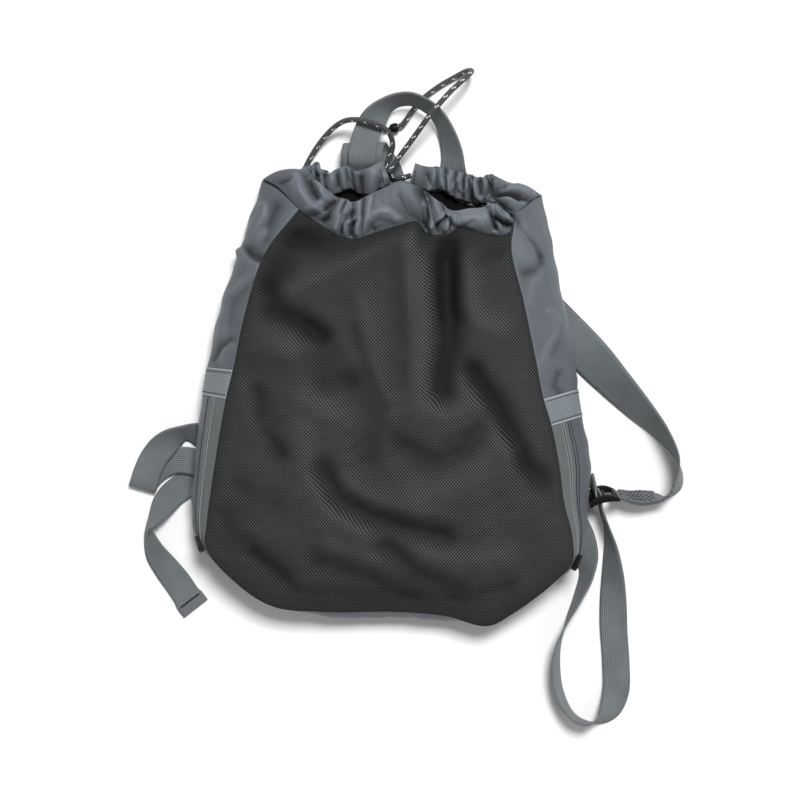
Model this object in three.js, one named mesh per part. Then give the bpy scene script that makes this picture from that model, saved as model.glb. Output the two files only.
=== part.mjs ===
// A mesh backpack lying on its back: net front up, mouth towards +Y, straps spread on the floor.
// Millimetres, +Z up from the floor, +X to the right as seen from above.
import * as THREE from 'three';

// Driving sizes
const NYLON_WALL = 1.2;
const NET_WALL = 1.4;
const BACK_WALL = 2.0;
const CASING_WALL = 2.0;
const ELASTIC_WALL = 2.2;
const ZIP_WALL = 1.6;
const WEBBING = 25;
const STRAP_WEBBING = 38;
const STRAP_FOLDED = 20;
const WEBBING_THICK = 1.6;
const FOLDED_THICK = 3.0;
const CORD_DIAMETER = 5;
const CORD_SIDES = 8;
const BACK_HEIGHT = 6;
const BACK_TOP_HEIGHT = 7.2;
const BACK_LOW = 1.2;
const NET_CROWN = 26;
const SEAM_INSET = 1.1;
const PIECE_GAP = 0.5;

const NYLON = new THREE.MeshStandardMaterial({ color: '#5f646d', roughness: 0.6, metalness: 0 });
const NET = new THREE.MeshStandardMaterial({ color: '#3a3b3c', roughness: 0.85, metalness: 0 });
const WEB = new THREE.MeshStandardMaterial({ color: '#6a7073', roughness: 0.75, metalness: 0 });
const ELASTIC = new THREE.MeshStandardMaterial({ color: '#767f84', roughness: 0.8, metalness: 0 });
const TAPE = new THREE.MeshStandardMaterial({ color: '#4a4e4f', roughness: 0.75, metalness: 0 });
const CORD = new THREE.MeshStandardMaterial({ color: '#55585a', roughness: 0.8, metalness: 0 });
const ACETAL = new THREE.MeshStandardMaterial({ color: '#18191b', roughness: 0.4, metalness: 0 });

// Sections of the gusset from the left shoulder down, round the bottom and up to the right shoulder.
// Columns: front seam x, y, z; widest place x, y; back seam x, y.
const GUSSET_ROWS = [
  [-96, 178, 41, -130, 206, -118, 194],
  [-126, 139, 45, -147, 155, -134, 150],
  [-143, 88, 50, -168, 92, -154, 90],
  [-154, 34, 55, -180, 37, -165, 36],
  [-160, 8, 57, -184, 12, -169, 10],
  [-169, -45, 58, -191, -45, -177, -45],
  [-177, -101, 55, -193, -103, -181, -102],
  [-178, -124, 52, -184, -126, -174, -124],
  [-154, -154, 46, -152, -154, -146, -150],
  [-120, -177, 40, -119, -177, -114, -172],
  [-73, -182, 38, -72, -188, -70, -180],
  [-6, -182, 37, -6, -190, -6, -182],
  [35, -186, 36, 35, -192, 34, -184],
  [72, -195, 36, 71, -193, 69, -185],
  [94, -184, 38, 93, -184, 90, -178],
  [131, -155, 45, 130, -156, 124, -152],
  [146, -137, 50, 153, -139, 142, -135],
  [146, -115, 53, 161, -114, 149, -113],
  [138, -82, 56, 163, -80, 151, -80],
  [134, -52, 58, 165, -49, 152, -51],
  [127, -16, 58, 157, -8, 145, -12],
  [120, 8, 57, 153, 17, 140, 12],
  [113, 44, 55, 151, 44, 137, 44],
  [102, 98, 51, 139, 98, 125, 98],
  [92, 143, 46, 131, 143, 118, 143],
  [96, 173, 42, 121, 193, 112, 186],
];
// Places along those rows where one piece of the gusset ends and the next begins
const LEFT_SHOULDER = 0;
const LEFT_ELASTIC_TOP = 3;
const LEFT_ELASTIC_END = 4;
const LEFT_CORNER = 7;
const RIGHT_CORNER = 16;
const RIGHT_ELASTIC_END = 20;
const RIGHT_ELASTIC_TOP = 21;
const RIGHT_SHOULDER = 25;
const ZIP_SHARE_LEFT = 0.26;
const ZIP_SHARE_RIGHT = 0.18;
const WIDEST_SHARE = 0.45;
const WIDEST_LIFT = 3;

// Stations of the gathered casing from the gap at the middle of the back, leftwards, round the
// left shoulder, across the front, round the right shoulder and back to the gap.
// Columns: seam x, y, z; mouth edge x, y, z.
const CASING_ROWS = [
  [-15, 204, 10, -22, 224, 19],
  [-39, 194, 9, -46, 214, 19],
  [-50, 200, 9, -55, 219, 20],
  [-63, 196, 9, -72, 213, 18],
  [-75, 198, 9, -80, 222, 18],
  [-94, 195, 9, -89, 218, 21],
  [-115, 197, 10, -93, 217, 28],
  [-130, 207, 24, -91, 213, 36],
  [-116, 199, 33, -84, 204, 42],
  [-96, 178, 41, -75, 196, 46],
  [-80, 166, 45, -65, 187, 49],
  [-62, 155, 47, -56, 184, 52],
  [-47, 151, 48, -48, 181, 54],
  [-36, 154, 49, -30, 189, 57],
  [-20, 159, 50, -18, 194, 59],
  [-6, 163, 51, -6, 199, 60],
  [9, 166, 51, 4, 196, 60],
  [18, 156, 48, 15, 190, 58],
  [34, 155, 48, 26, 183, 56],
  [48, 162, 47, 39, 174, 53],
  [67, 157, 46, 56, 176, 50],
  [85, 155, 45, 70, 178, 47],
  [94, 160, 44, 74, 183, 45],
  [96, 173, 42, 76, 188, 43],
  [105, 181, 37, 78, 192, 40],
  [113, 188, 31, 80, 196, 36],
  [121, 193, 22, 81, 201, 31],
  [112, 189, 10, 80, 210, 24],
  [90, 188, 9, 75, 211, 19],
  [72, 185, 9, 67, 208, 17],
  [58, 185, 9, 56, 211, 17],
  [46, 190, 9, 45, 214, 17],
  [35, 198, 9, 30, 218, 17],
  [19, 198, 9, 17, 218, 17],
  [2, 203, 10, 7, 221, 17],
];
const FRONT_LEFT_STATION = 9;
const FRONT_RIGHT_STATION = 23;
// How far the casing puffs outwards half-way up. Columns: station, puff.
const CASING_PUFF = [[0, -2.5], [5, -2], [7, 5], [9, 5], [22, 5], [26, 5], [28, -2], [34, -2.5]];
// Pleats of the casing. Columns: station at the seam, height outwards, half width in stations,
// stations that it leans by at the mouth edge.
const PLEATS = [
  [1.5, 2.5, 0.4, 0], [3.5, 2.5, 0.4, 0], [4.6, -2, 0.4, 0.2],
  [8.3, 4, 0.5, 0.3], [8.9, -5, 0.35, 0.5], [9.7, 3, 0.4, 0],
  [10.9, 3, 0.35, 0], [11.5, -5, 0.3, 0.2], [12.1, 3, 0.35, 0], [13.4, 3, 0.9, 0.3],
  [15.6, -3, 0.4, -0.8], [16.2, 3, 0.4, -0.3], [16.8, -6, 0.3, 0], [17.4, 3, 0.35, 0],
  [17.9, -5, 0.3, 0], [18.4, 3, 0.35, 0], [18.9, -4, 0.3, 0], [20, 2.5, 0.7, 0],
  [21.3, -4, 0.3, 0.2], [21.8, 3, 0.3, 0.2], [23.4, -5, 0.35, 0], [24.1, 4, 0.35, 0],
  [24.7, -4, 0.35, 0], [25.4, 4, 0.4, 0], [29.5, 2, 0.4, 0], [31.5, 2, 0.4, 0], [32.7, -2, 0.4, 0],
];

// Folds of the slack net. Columns: path x, y; height; half widths left and right of the path.
const NET_FOLDS = [
  { path: [[4, 160], [12, 121], [15, 69], [13, 20], [20, 0], [34, -8], [48, 0]], height: 11, left: 10, right: 16 },
  { path: [[36, 149], [37, 104], [36, 55], [29, 16]], height: -11, left: 13, right: 13 },
  { path: [[54, 130], [51, 95], [62, 76], [79, 69]], height: 8, left: 15, right: 10 },
  { path: [[60, 130], [78, 138]], height: -4, left: 9, right: 9 },
  { path: [[59, 32], [82, -2], [105, -48], [122, -65]], height: -8, left: 10, right: 10 },
  { path: [[48, 25], [69, -6], [86, -36]], height: 4, left: 12, right: 12 },
  { path: [[-5, -32], [23, -49], [50, -38], [66, -12]], height: -6, left: 10, right: 10 },
  { path: [[7, -83], [38, -70], [81, -41]], height: 5, left: 16, right: 16 },
  { path: [[-75, -54], [-62, -80], [-32, -96], [8, -107], [33, -113]], height: -9, left: 10, right: 10 },
  { path: [[-94, -25], [-86, -61], [-65, -95], [-42, -111]], height: 6, left: 12, right: 12 },
  { path: [[-17, -123], [13, -147], [44, -161]], height: -7, left: 10, right: 10 },
  { path: [[11, -129], [46, -137], [86, -133]], height: 5, left: 12, right: 12 },
  { path: [[-78, -135], [-33, -150], [4, -168]], height: -6, left: 10, right: 10 },
  { path: [[-123, 87], [-95, 74], [-75, 62]], height: -8, left: 10, right: 10 },
  { path: [[-100, 102], [-62, 123], [-24, 147], [7, 161]], height: 6, left: 12, right: 12 },
  { path: [[-107, 157], [-78, 150], [-54, 150]], height: -6, left: 10, right: 10 },
  { path: [[-75, 22], [-55, 22]], height: -5, left: 10, right: 10 },
  { path: [[-40, 95], [-31, 40], [-17, -1]], height: 4, left: 10, right: 10 },
  { path: [[-8, 128], [-6, 69], [-5, 21]], height: -4, left: 10, right: 10 },
  { path: [[-45, 26], [-30, -4], [-32, -45]], height: -5, left: 11, right: 11 },
  { path: [[-130, 12], [-118, -15], [-112, -40]], height: -4, left: 11, right: 11 },
  { path: [[-161, -96], [-156, -112], [-110, -144]], height: -5, left: 11, right: 11 },
  { path: [[-112, 54], [-106, 52]], height: 5, left: 20, right: 20 },
  { path: [[-80, -6], [-70, -8]], height: 6, left: 20, right: 20 },
];

// Webbing laid out by stations. Columns: centre x, y, z; plan heading and tilt, in degrees, of the
// line from its right edge to its left edge as it runs; width; thickness.
const HANDLE_ROWS = [
  [-41, 201, 5.6, 180, 0, WEBBING, WEBBING_THICK],
  [-41, 210, 6.7, 180, 0, WEBBING, WEBBING_THICK],
  [-41, 217, 12.4, 180, 0, WEBBING, WEBBING_THICK],
  [-41, 224, 19.6, 180, 0, WEBBING, WEBBING_THICK],
  [-41, 232, 22, 180, 0, WEBBING, WEBBING_THICK],
  [-39, 242, 21.6, 178, 0, WEBBING, WEBBING_THICK],
  [-35, 254, 20, 172, 5, WEBBING, WEBBING_THICK],
  [-28, 266, 19.5, 152, 35, WEBBING, WEBBING_THICK],
  [-19, 275, 19, 128, 62, WEBBING, WEBBING_THICK],
  [-9, 280, 19, 105, 70, WEBBING, WEBBING_THICK],
  [3, 281, 19.5, 84, 72, WEBBING, WEBBING_THICK],
  [14, 277, 19.5, 64, 72, WEBBING, WEBBING_THICK],
  [24, 270, 19, 49, 70, WEBBING, WEBBING_THICK],
  [31, 261, 17.5, 37, 65, WEBBING, WEBBING_THICK],
  [37, 248, 14, 20, 56, WEBBING, WEBBING_THICK],
  [41, 233, 10, 9, 43, WEBBING, WEBBING_THICK],
  [42, 219, 7.4, 3, 28, WEBBING, WEBBING_THICK],
  [43, 208, 4, 0, 8, WEBBING, WEBBING_THICK],
  [43, 198, 3, 0, 0, WEBBING, WEBBING_THICK],
];
const STRAP_RIGHT_ROWS = [
  [28, 196, 1.1, 30, 0, STRAP_WEBBING, WEBBING_THICK],
  [67, 155, 1.1, 38, 0, STRAP_WEBBING, WEBBING_THICK],
  [113, 104, 1.1, 40, 0, STRAP_WEBBING, WEBBING_THICK],
  [139, 77, 2.6, 40, 5, STRAP_WEBBING, WEBBING_THICK],
  [165, 50, 7.5, 40, 20, STRAP_WEBBING, WEBBING_THICK],
  [190, 22, 13.7, 40, 42, STRAP_WEBBING, WEBBING_THICK],
  [212, -2, 17.2, 37, 58, STRAP_WEBBING, WEBBING_THICK],
  [231, -23, 19.6, 33, 75, STRAP_WEBBING, WEBBING_THICK],
  [244, -43, 20.2, 20, 90, STRAP_WEBBING, WEBBING_THICK],
  [248, -59, 19.6, 0, 104, STRAP_WEBBING, WEBBING_THICK],
  [246, -71, 18.8, -20, 110, 36, WEBBING_THICK],
  [238, -80, 15.4, -60, 106, 30, 2.2],
  [228, -82, 12, -85, 90, STRAP_FOLDED, FOLDED_THICK],
  [214, -82.5, 13.6, -88, 80, STRAP_FOLDED, FOLDED_THICK],
  [204, -82, 15.2, -84, 76, STRAP_FOLDED, FOLDED_THICK],
  [193.4, -79.4, 16.6, -80, 75, STRAP_FOLDED, FOLDED_THICK],
];
const STRAP_LEFT_ROWS = [
  [-18, 197, 1.2, 200, 0, STRAP_WEBBING, WEBBING_THICK],
  [-22, 212, 1.2, 200, 0, STRAP_WEBBING, WEBBING_THICK],
  [-28, 226, 1.2, 192, 0, STRAP_WEBBING, WEBBING_THICK],
  [-34, 236, 3.2, 184, 0, STRAP_WEBBING, WEBBING_THICK],
  [-36, 242, 10, 181, 0, STRAP_WEBBING, WEBBING_THICK],
  [-36, 233, 18, 180, 0, STRAP_WEBBING, WEBBING_THICK],
  [-37, 223, 15.2, 180, 0, STRAP_WEBBING, WEBBING_THICK],
  [-38, 216, 8.4, 180, 0, STRAP_WEBBING, WEBBING_THICK],
  [-38, 209, 4.1, 180, 0, STRAP_WEBBING, WEBBING_THICK],
  [-41, 196, 3.4, 174, 0, STRAP_WEBBING, WEBBING_THICK],
  [-53, 170, 2.6, 160, 0, STRAP_WEBBING, WEBBING_THICK],
  [-80, 118, 1.4, 153, 0, STRAP_WEBBING, WEBBING_THICK],
  [-116, 49, 1.2, 153, 0, STRAP_WEBBING, WEBBING_THICK],
  [-130, 20, 1.2, 155, 0, 32, WEBBING_THICK],
  [-138, -2, 1.6, 160, 0, WEBBING, WEBBING_THICK],
];
const ADJUSTER_LEFT_ROWS = [
  [-166, -26, 2.4, -90, 0, WEBBING, WEBBING_THICK],
  [-176, -26, 2.4, -90, 0, WEBBING, WEBBING_THICK],
  [-190, -25, 6.9, -90, -25, WEBBING, WEBBING_THICK],
  [-204, -23, 12, -80, -58, WEBBING, WEBBING_THICK],
  [-218, -31, 12, -49, -30, WEBBING, WEBBING_THICK],
  [-230, -43, 9.6, -24, 0, WEBBING, WEBBING_THICK],
  [-237, -57, 9.2, -18, 0, WEBBING, WEBBING_THICK],
  [-241, -69, 8.6, -16, 0, WEBBING, WEBBING_THICK],
  [-243, -74, 5.6, -16, 0, WEBBING, WEBBING_THICK],
  [-240, -68, 2.6, -17, 0, WEBBING, WEBBING_THICK],
  [-230, -57, 3, -30, 0, WEBBING, WEBBING_THICK],
  [-217, -49, 4.4, -60, 0, WEBBING, WEBBING_THICK],
  [-202, -48, 5, -88, 0, WEBBING, WEBBING_THICK],
  [-190, -51, 4.2, -98, 0, WEBBING, WEBBING_THICK],
  [-179, -54, 4, -100, 0, WEBBING, WEBBING_THICK],
  [-173, -57, 2.5, -98, 0, WEBBING, WEBBING_THICK],
  [-180, -60, 1.2, -80, 0, WEBBING, WEBBING_THICK],
  [-197, -67, 1.1, -62, 0, WEBBING, WEBBING_THICK],
  [-214, -78, 1.4, -58, 2, WEBBING, WEBBING_THICK],
  [-226, -91, 7.4, -57, 30, WEBBING, WEBBING_THICK],
  [-234, -102, 11.8, -75, 55, WEBBING, WEBBING_THICK],
  [-237, -112, 13, 34, 70, WEBBING, WEBBING_THICK],
  [-236, -120, 9.7, 58, 43, WEBBING, WEBBING_THICK],
  [-231, -132, 8, 45, 33, WEBBING, WEBBING_THICK],
  [-222, -145, 5, 39, 18, WEBBING, WEBBING_THICK],
  [-211, -160, 1.6, 33, 2, WEBBING, WEBBING_THICK],
  [-203, -172, 1.2, 33, 0, WEBBING, WEBBING_THICK],
  [-200, -176, 1.7, 36, 0, 27, FOLDED_THICK],
  [-194, -184, 1.7, 38, 0, 27, FOLDED_THICK],
];
const ADJUSTER_RIGHT_ROWS = [
  [141, -88, 3.7, 45, 0, WEBBING, WEBBING_THICK],
  [154, -106, 3.7, 37, 2, WEBBING, WEBBING_THICK],
  [162, -126, 5, 8, 18, WEBBING, WEBBING_THICK],
  [164, -151, 12.6, -14, 66, WEBBING, WEBBING_THICK],
  [156, -173, 13.4, -20, 80, WEBBING, WEBBING_THICK],
  [148, -190, 13.6, -22, 90, WEBBING, WEBBING_THICK],
  [143, -202, 13.4, -20, 98, WEBBING, WEBBING_THICK],
  [138, -216, 13.2, -10, 105, WEBBING, WEBBING_THICK],
  [136, -239, 12.8, 5, 110, WEBBING, WEBBING_THICK],
  [140, -262, 13, 24, 108, WEBBING, WEBBING_THICK],
  [151, -281, 13.4, 53, 100, WEBBING, WEBBING_THICK],
  [163, -287, 13.6, 90, 90, WEBBING, WEBBING_THICK],
  [176, -285, 12.4, 120, 65, WEBBING, WEBBING_THICK],
  [186, -276, 8.5, 150, 35, WEBBING, WEBBING_THICK],
  [192, -259, 3.9, 174, 12, WEBBING, WEBBING_THICK],
  [192, -233, 1.7, 180, 2, WEBBING, WEBBING_THICK],
  [190, -204, 2, 184, -2, WEBBING, WEBBING_THICK],
  [189, -177, 6.3, 182, -25, WEBBING, WEBBING_THICK],
  [188, -149, 10.6, 182, -50, WEBBING, WEBBING_THICK],
  [186, -127, 12.8, 184, -70, WEBBING, WEBBING_THICK],
  [182, -108, 14.2, 170, -86, WEBBING, WEBBING_THICK],
  [178, -96, 15.4, 115, -80, WEBBING, WEBBING_THICK],
  [174.3, -83.1, 16.4, 100, -75, WEBBING, WEBBING_THICK],
];
const ADJUSTER_TAIL_ROWS = [
  [163.8, -63.6, 12.4, 225, -58, WEBBING, WEBBING_THICK],
  [167.1, -69.8, 15.4, 195, -74, WEBBING, WEBBING_THICK],
  [170.5, -77.1, 17.9, 104, -75, WEBBING, WEBBING_THICK],
];

// Routes of the drawcord's two free strands. Columns: x, y, z.
const CORD_LEFT_ROUTE = [
  [-16.8, 215, 15.6], [-13.6, 219, 16.9], [-8, 227, 19.4], [-1, 236, 22], [6, 245, 26], [13, 254, 31], [20, 263, 36],
  [26, 270, 38], [32, 277, 37.4], [39, 285, 35], [46, 292, 31.6], [52, 298, 28], [56.6, 303, 23.4], [58.8, 306.6, 16.8],
  [57.6, 308.6, 10.2], [53.4, 308.4, 5.6], [47, 305.4, 3.4], [40, 301.6, 2.8], [33, 297.6, 2.8], [26, 293, 2.8],
  [18, 287, 2.8], [10, 279, 3.2], [4, 271.4, 3.8], [-1, 264, 4.4], [-4.4, 259.8, 4.7], [-7.3, 258.1, 4.8],
];
const CORD_RIGHT_ROUTE = [
  [3.2, 212.2, 13], [-2, 211, 10.8], [-8.4, 210.8, 8.8], [-13.6, 213, 7.2], [-17, 217.6, 6.4], [-17.8, 223, 6.6],
  [-16, 229.4, 8.4], [-13.6, 236, 12], [-13.2, 242, 16.4], [-15.6, 248.6, 21], [-21, 253.6, 24.8],
  [-30, 257.4, 27], [-38, 259.6, 27.4], [-46, 261, 26.4], [-55, 261, 22.6], [-63, 258, 17.6], [-71, 252, 12.8],
  [-79, 243.4, 8.8], [-86, 233.6, 5.8], [-91, 225, 4], [-95, 216, 3.2], [-97, 208, 3.2],
];

const rad = THREE.MathUtils.degToRad;
const unit = (vector) => vector.clone().normalize();

// Smooth curve through table rows, called with a row number that may lie between rows.
function rowCurve(points) {
  const curve = new THREE.CatmullRomCurve3(points, false, 'centripetal');
  return (row) => curve.getPoint(THREE.MathUtils.clamp(row / (points.length - 1), 0, 1));
}

// Straight interpolation in a two-column table.
function tableAt(table, x) {
  for (let i = 1; i < table.length; i++) {
    const [x0, y0] = table[i - 1];
    const [x1, y1] = table[i];
    if (x <= x1) return THREE.MathUtils.mapLinear(Math.max(x, x0), x0, x1, y0, y1);
  }
  return table[table.length - 1][1];
}

function surfaceNormal(surface, u, v) {
  const step = 1e-3;
  const u0 = Math.max(u - step, 0);
  const v0 = Math.max(v - step, 0);
  const along = surface(Math.min(u + step, 1), v).sub(surface(u0, v));
  const across = surface(u, Math.min(v + step, 1)).sub(surface(u, v0));
  return along.cross(across).normalize();
}

// A closed wall of even thickness centred on a surface with both parameters from 0 to 1.
function clothWall(surface, alongSteps, acrossSteps, thickness) {
  const geometry = new THREE.BoxGeometry(1, 1, 1, alongSteps, acrossSteps, 1);
  const position = geometry.attributes.position;
  for (let i = 0; i < position.count; i++) {
    const u = position.getX(i) + 0.5;
    const v = position.getY(i) + 0.5;
    const offset = thickness * position.getZ(i);
    const point = surface(u, v).addScaledVector(surfaceNormal(surface, u, v), offset);
    position.setXYZ(i, point.x, point.y, point.z);
  }
  return geometry;
}

// Part of a surface, from u0 to u1 and from v0 to v1.
function patch(surface, u0, u1, v0, v1) {
  const { lerp } = THREE.MathUtils;
  return (u, v) => surface(lerp(u0, u1, u), lerp(v0, v1, v));
}

// Coons patch between four edges: left and right run from top to bottom, top and bottom rightwards.
function coons(left, right, top, bottom) {
  return (u, v) => {
    const point = new THREE.Vector3();
    point.addScaledVector(left(v), 1 - u).addScaledVector(right(v), u);
    point.addScaledVector(top(u), 1 - v).addScaledVector(bottom(u), v);
    point.addScaledVector(left(0), -(1 - u) * (1 - v)).addScaledVector(right(0), -u * (1 - v));
    point.addScaledVector(left(1), -(1 - u) * v).addScaledVector(right(1), -u * v);
    return point;
  };
}

const frontSeam = rowCurve(GUSSET_ROWS.map(([x, y, z]) => new THREE.Vector3(x, y, z)));
const widestLine = rowCurve(GUSSET_ROWS.map((row) => (
  new THREE.Vector3(row[3], row[4], row[2] * WIDEST_SHARE + WIDEST_LIFT))));
const backSeam = rowCurve(GUSSET_ROWS.map((row) => new THREE.Vector3(row[5], row[6], BACK_HEIGHT)));
const casingSeam = rowCurve(CASING_ROWS.map(([x, y, z]) => new THREE.Vector3(x, y, z)));
const mouthEdge = rowCurve(CASING_ROWS.map((row) => new THREE.Vector3(row[3], row[4], row[5])));

// Gusset: row along the seam, share 0 at the front seam and 1 at the back seam.
function gusset(row, share) {
  const point = frontSeam(row).multiplyScalar((1 - share) * (1 - 2 * share));
  point.addScaledVector(widestLine(row), 4 * share * (1 - share));
  return point.addScaledVector(backSeam(row), share * (2 * share - 1));
}

const span = (curve, first, last) => (t) => curve(THREE.MathUtils.lerp(first, last, t));

// Height that one fold adds at a place: a rounded ridge along its path, wider on one side.
function foldHeight(fold, x, y) {
  let nearest = Infinity;
  let side = 0;
  for (let i = 1; i < fold.path.length; i++) {
    const [x0, y0] = fold.path[i - 1];
    const [x1, y1] = fold.path[i];
    const dx = x1 - x0;
    const dy = y1 - y0;
    const along = THREE.MathUtils.clamp(((x - x0) * dx + (y - y0) * dy) / (dx * dx + dy * dy), 0, 1);
    const offX = x - x0 - along * dx;
    const offY = y - y0 - along * dy;
    const distance = Math.hypot(offX, offY);
    if (distance < nearest) {
      nearest = distance;
      side = (dx * offY - dy * offX) / (Math.hypot(dx, dy) * Math.max(distance, 1e-6));
    }
  }
  const width = THREE.MathUtils.mapLinear(side, -1, 1, fold.right, fold.left);
  return fold.height * Math.exp(-((nearest / width) ** 2));
}

const netFlat = coons(
  span(frontSeam, LEFT_SHOULDER, LEFT_CORNER),
  span(frontSeam, RIGHT_SHOULDER, RIGHT_CORNER),
  span(casingSeam, FRONT_LEFT_STATION, FRONT_RIGHT_STATION),
  span(frontSeam, LEFT_CORNER, RIGHT_CORNER),
);

// Net front: the flat patch, puffed up by its crown and creased by its folds, calm at the seams.
function netFront(u, v) {
  const point = netFlat(u, v);
  const across = 4 * u * (1 - u);
  const along = Math.sin(Math.PI * v ** 1.3);
  const slack = 1 - Math.max(across * along, 0);
  const calm = Math.min(1, 6 * across) * Math.min(1, 12 * v) * Math.min(1, 12 * (1 - v));
  let folds = 0;
  for (const fold of NET_FOLDS) folds += foldHeight(fold, point.x, point.y);
  point.z += NET_CROWN * (1 - slack * slack) + calm * folds;
  return point;
}

// Top edge of the back, along the casing's seam from the left shoulder past the gap to the right one.
const BACK_TOP_STATIONS = [5, 4, 3, 2, 1, 0, 34, 33, 32, 31, 30, 29, 28];
const backTopInner = BACK_TOP_STATIONS.map((station) => {
  const [x, y] = CASING_ROWS[station];
  return new THREE.Vector3(x, y, BACK_TOP_HEIGHT);
});
const backTopRows = [backSeam(LEFT_SHOULDER), ...backTopInner, backSeam(RIGHT_SHOULDER)];
const backTop = rowCurve(backTopRows);
const backFlat = coons(
  span(backSeam, LEFT_SHOULDER, LEFT_CORNER),
  span(backSeam, RIGHT_SHOULDER, RIGHT_CORNER),
  span(backTop, 0, backTopRows.length - 1),
  span(backSeam, LEFT_CORNER, RIGHT_CORNER),
);

// Back: held up by the straps at its edges, lying flat on the floor low in the middle.
function back(u, v) {
  const point = backFlat(u, v);
  const low = Math.exp(-(((point.x + 8) / 105) ** 4) - (((point.y + 85) / 85) ** 4));
  point.z = THREE.MathUtils.lerp(point.z, BACK_LOW, Math.min(1, 1.3 * low));
  return point;
}

// Casing strip: station along the ring, share 0 at the seam and 1 at the mouth edge.
function casingStrip(station, share) {
  return casingSeam(station).lerp(mouthEdge(station), share);
}

function casing(station, share) {
  const last = CASING_ROWS.length - 1;
  const strip = (u, v) => casingStrip(u * last, v);
  const outward = surfaceNormal(strip, station / last, share);
  let lift = tableAt(CASING_PUFF, station) * 4 * share * (1 - share);
  for (const [at, height, halfWidth, lean] of PLEATS) {
    const off = (station - at - lean * share) / halfWidth;
    lift += height * Math.exp(-off * off) * Math.min(1, 5 * share);
  }
  return casingStrip(station, share).addScaledVector(outward, lift);
}

// Webbing along its stations.
function webbing(rows, steps) {
  const centre = rowCurve(rows.map(([x, y, z]) => new THREE.Vector3(x, y, z)));
  const across = rowCurve(rows.map((row) => {
    const level = Math.cos(rad(row[4]));
    return new THREE.Vector3(Math.cos(rad(row[3])) * level, Math.sin(rad(row[3])) * level, Math.sin(rad(row[4])));
  }));
  const last = rows.length - 1;
  const column = (index) => rows.map((row, i) => [i, row[index]]);
  const widths = column(5);
  const thicknesses = column(6);
  const geometry = new THREE.BoxGeometry(1, 1, 1, steps, 1, 1);
  const position = geometry.attributes.position;
  for (let i = 0; i < position.count; i++) {
    const row = (position.getX(i) + 0.5) * last;
    const travel = centre(Math.min(row + 0.02, last)).sub(centre(Math.max(row - 0.02, 0)));
    const left = unit(across(row));
    const up = travel.cross(left).normalize();
    const point = centre(row).addScaledVector(left, tableAt(widths, row) * position.getY(i));
    point.addScaledVector(up, tableAt(thicknesses, row) * position.getZ(i));
    position.setXYZ(i, point.x, point.y, point.z);
  }
  return geometry;
}

function cordTube(route, steps) {
  const section = new THREE.Shape();
  for (let i = 0; i < CORD_SIDES; i++) {
    const angle = (2 * Math.PI * i) / CORD_SIDES;
    const x = 0.5 * CORD_DIAMETER * Math.cos(angle);
    const y = 0.5 * CORD_DIAMETER * Math.sin(angle);
    if (i === 0) section.moveTo(x, y);
    else section.lineTo(x, y);
  }
  section.closePath();
  const path = new THREE.CatmullRomCurve3(route.map(([x, y, z]) => new THREE.Vector3(x, y, z)), false, 'centripetal');
  return new THREE.ExtrudeGeometry(section, { steps, extrudePath: path, bevelEnabled: false });
}

// Corners of a rectangle with rounded corners, two points to each quarter turn.
function roundedRectangle(width, height, radius) {
  const points = [];
  for (let quarter = 0; quarter < 4; quarter++) {
    const sideX = quarter === 0 || quarter === 3 ? 1 : -1;
    const sideY = quarter < 2 ? 1 : -1;
    for (let step = 0; step <= 2; step++) {
      const angle = (quarter + step / 2) * (Math.PI / 2);
      const x = sideX * (width / 2 - radius) + radius * Math.cos(angle);
      const y = sideY * (height / 2 - radius) + radius * Math.sin(angle);
      points.push(new THREE.Vector2(x, y));
    }
  }
  return points;
}

// Ladder lock: a plate with two slots for the webbing, arched along its length.
const LOCK_LENGTH = 28;
const LOCK_WIDTH = 30;
const LOCK_CORNER = 4;
const LOCK_SLOT_LENGTH = 5.5;
const LOCK_SLOT_WIDTH = 24;
const LOCK_SLOT_PLACE = 7;
function ladderLock(thick, arch) {
  const outline = roundedRectangle(LOCK_LENGTH, LOCK_WIDTH, LOCK_CORNER);
  const straight = LOCK_LENGTH / 2 - LOCK_CORNER;
  const railPoint = (side, share) => new THREE.Vector2(side * straight * share, (side * LOCK_WIDTH) / 2);
  const alongRail = (side) => [0.5, 0, -0.5].map((share) => railPoint(side, share));
  outline.splice(9, 0, ...alongRail(-1));
  outline.splice(3, 0, ...alongRail(1));
  const plate = new THREE.Shape(outline);
  for (const place of [-LOCK_SLOT_PLACE, LOCK_SLOT_PLACE]) {
    const slot = roundedRectangle(LOCK_SLOT_LENGTH, LOCK_SLOT_WIDTH, 1);
    plate.holes.push(new THREE.Path(slot.map((corner) => corner.setX(corner.x + place)).reverse()));
  }
  const geometry = new THREE.ExtrudeGeometry(plate, { depth: thick, bevelEnabled: false });
  const position = geometry.attributes.position;
  for (let i = 0; i < position.count; i++) {
    const off = (2 * position.getX(i)) / LOCK_LENGTH;
    position.setZ(i, position.getZ(i) - thick / 2 + arch * (0.5 - off * off));
  }
  return geometry;
}

// Zip slider with its pull: a teardrop plate with a hole at its round end.
const PULL_LENGTH = 15;
const PULL_RADIUS = 4.5;
const PULL_THICK = 3;
const PULL_CLEARANCE = 0.5;
function zipSlider() {
  const plate = new THREE.Shape();
  plate.absarc(0, 0, PULL_RADIUS, -Math.PI / 3, Math.PI / 3);
  plate.lineTo(PULL_RADIUS - PULL_LENGTH, 2.6);
  plate.lineTo(PULL_RADIUS - PULL_LENGTH, -2.6);
  plate.closePath();
  const hole = new THREE.Path();
  hole.absarc(0.6, 0, 1.9, 0, 2 * Math.PI, true);
  plate.holes.push(hole);
  const geometry = new THREE.ExtrudeGeometry(plate, { depth: PULL_THICK, bevelEnabled: false, curveSegments: 6 });
  return geometry.translate(PULL_LENGTH / 2 - PULL_RADIUS, 0, -PULL_THICK / 2);
}

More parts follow.
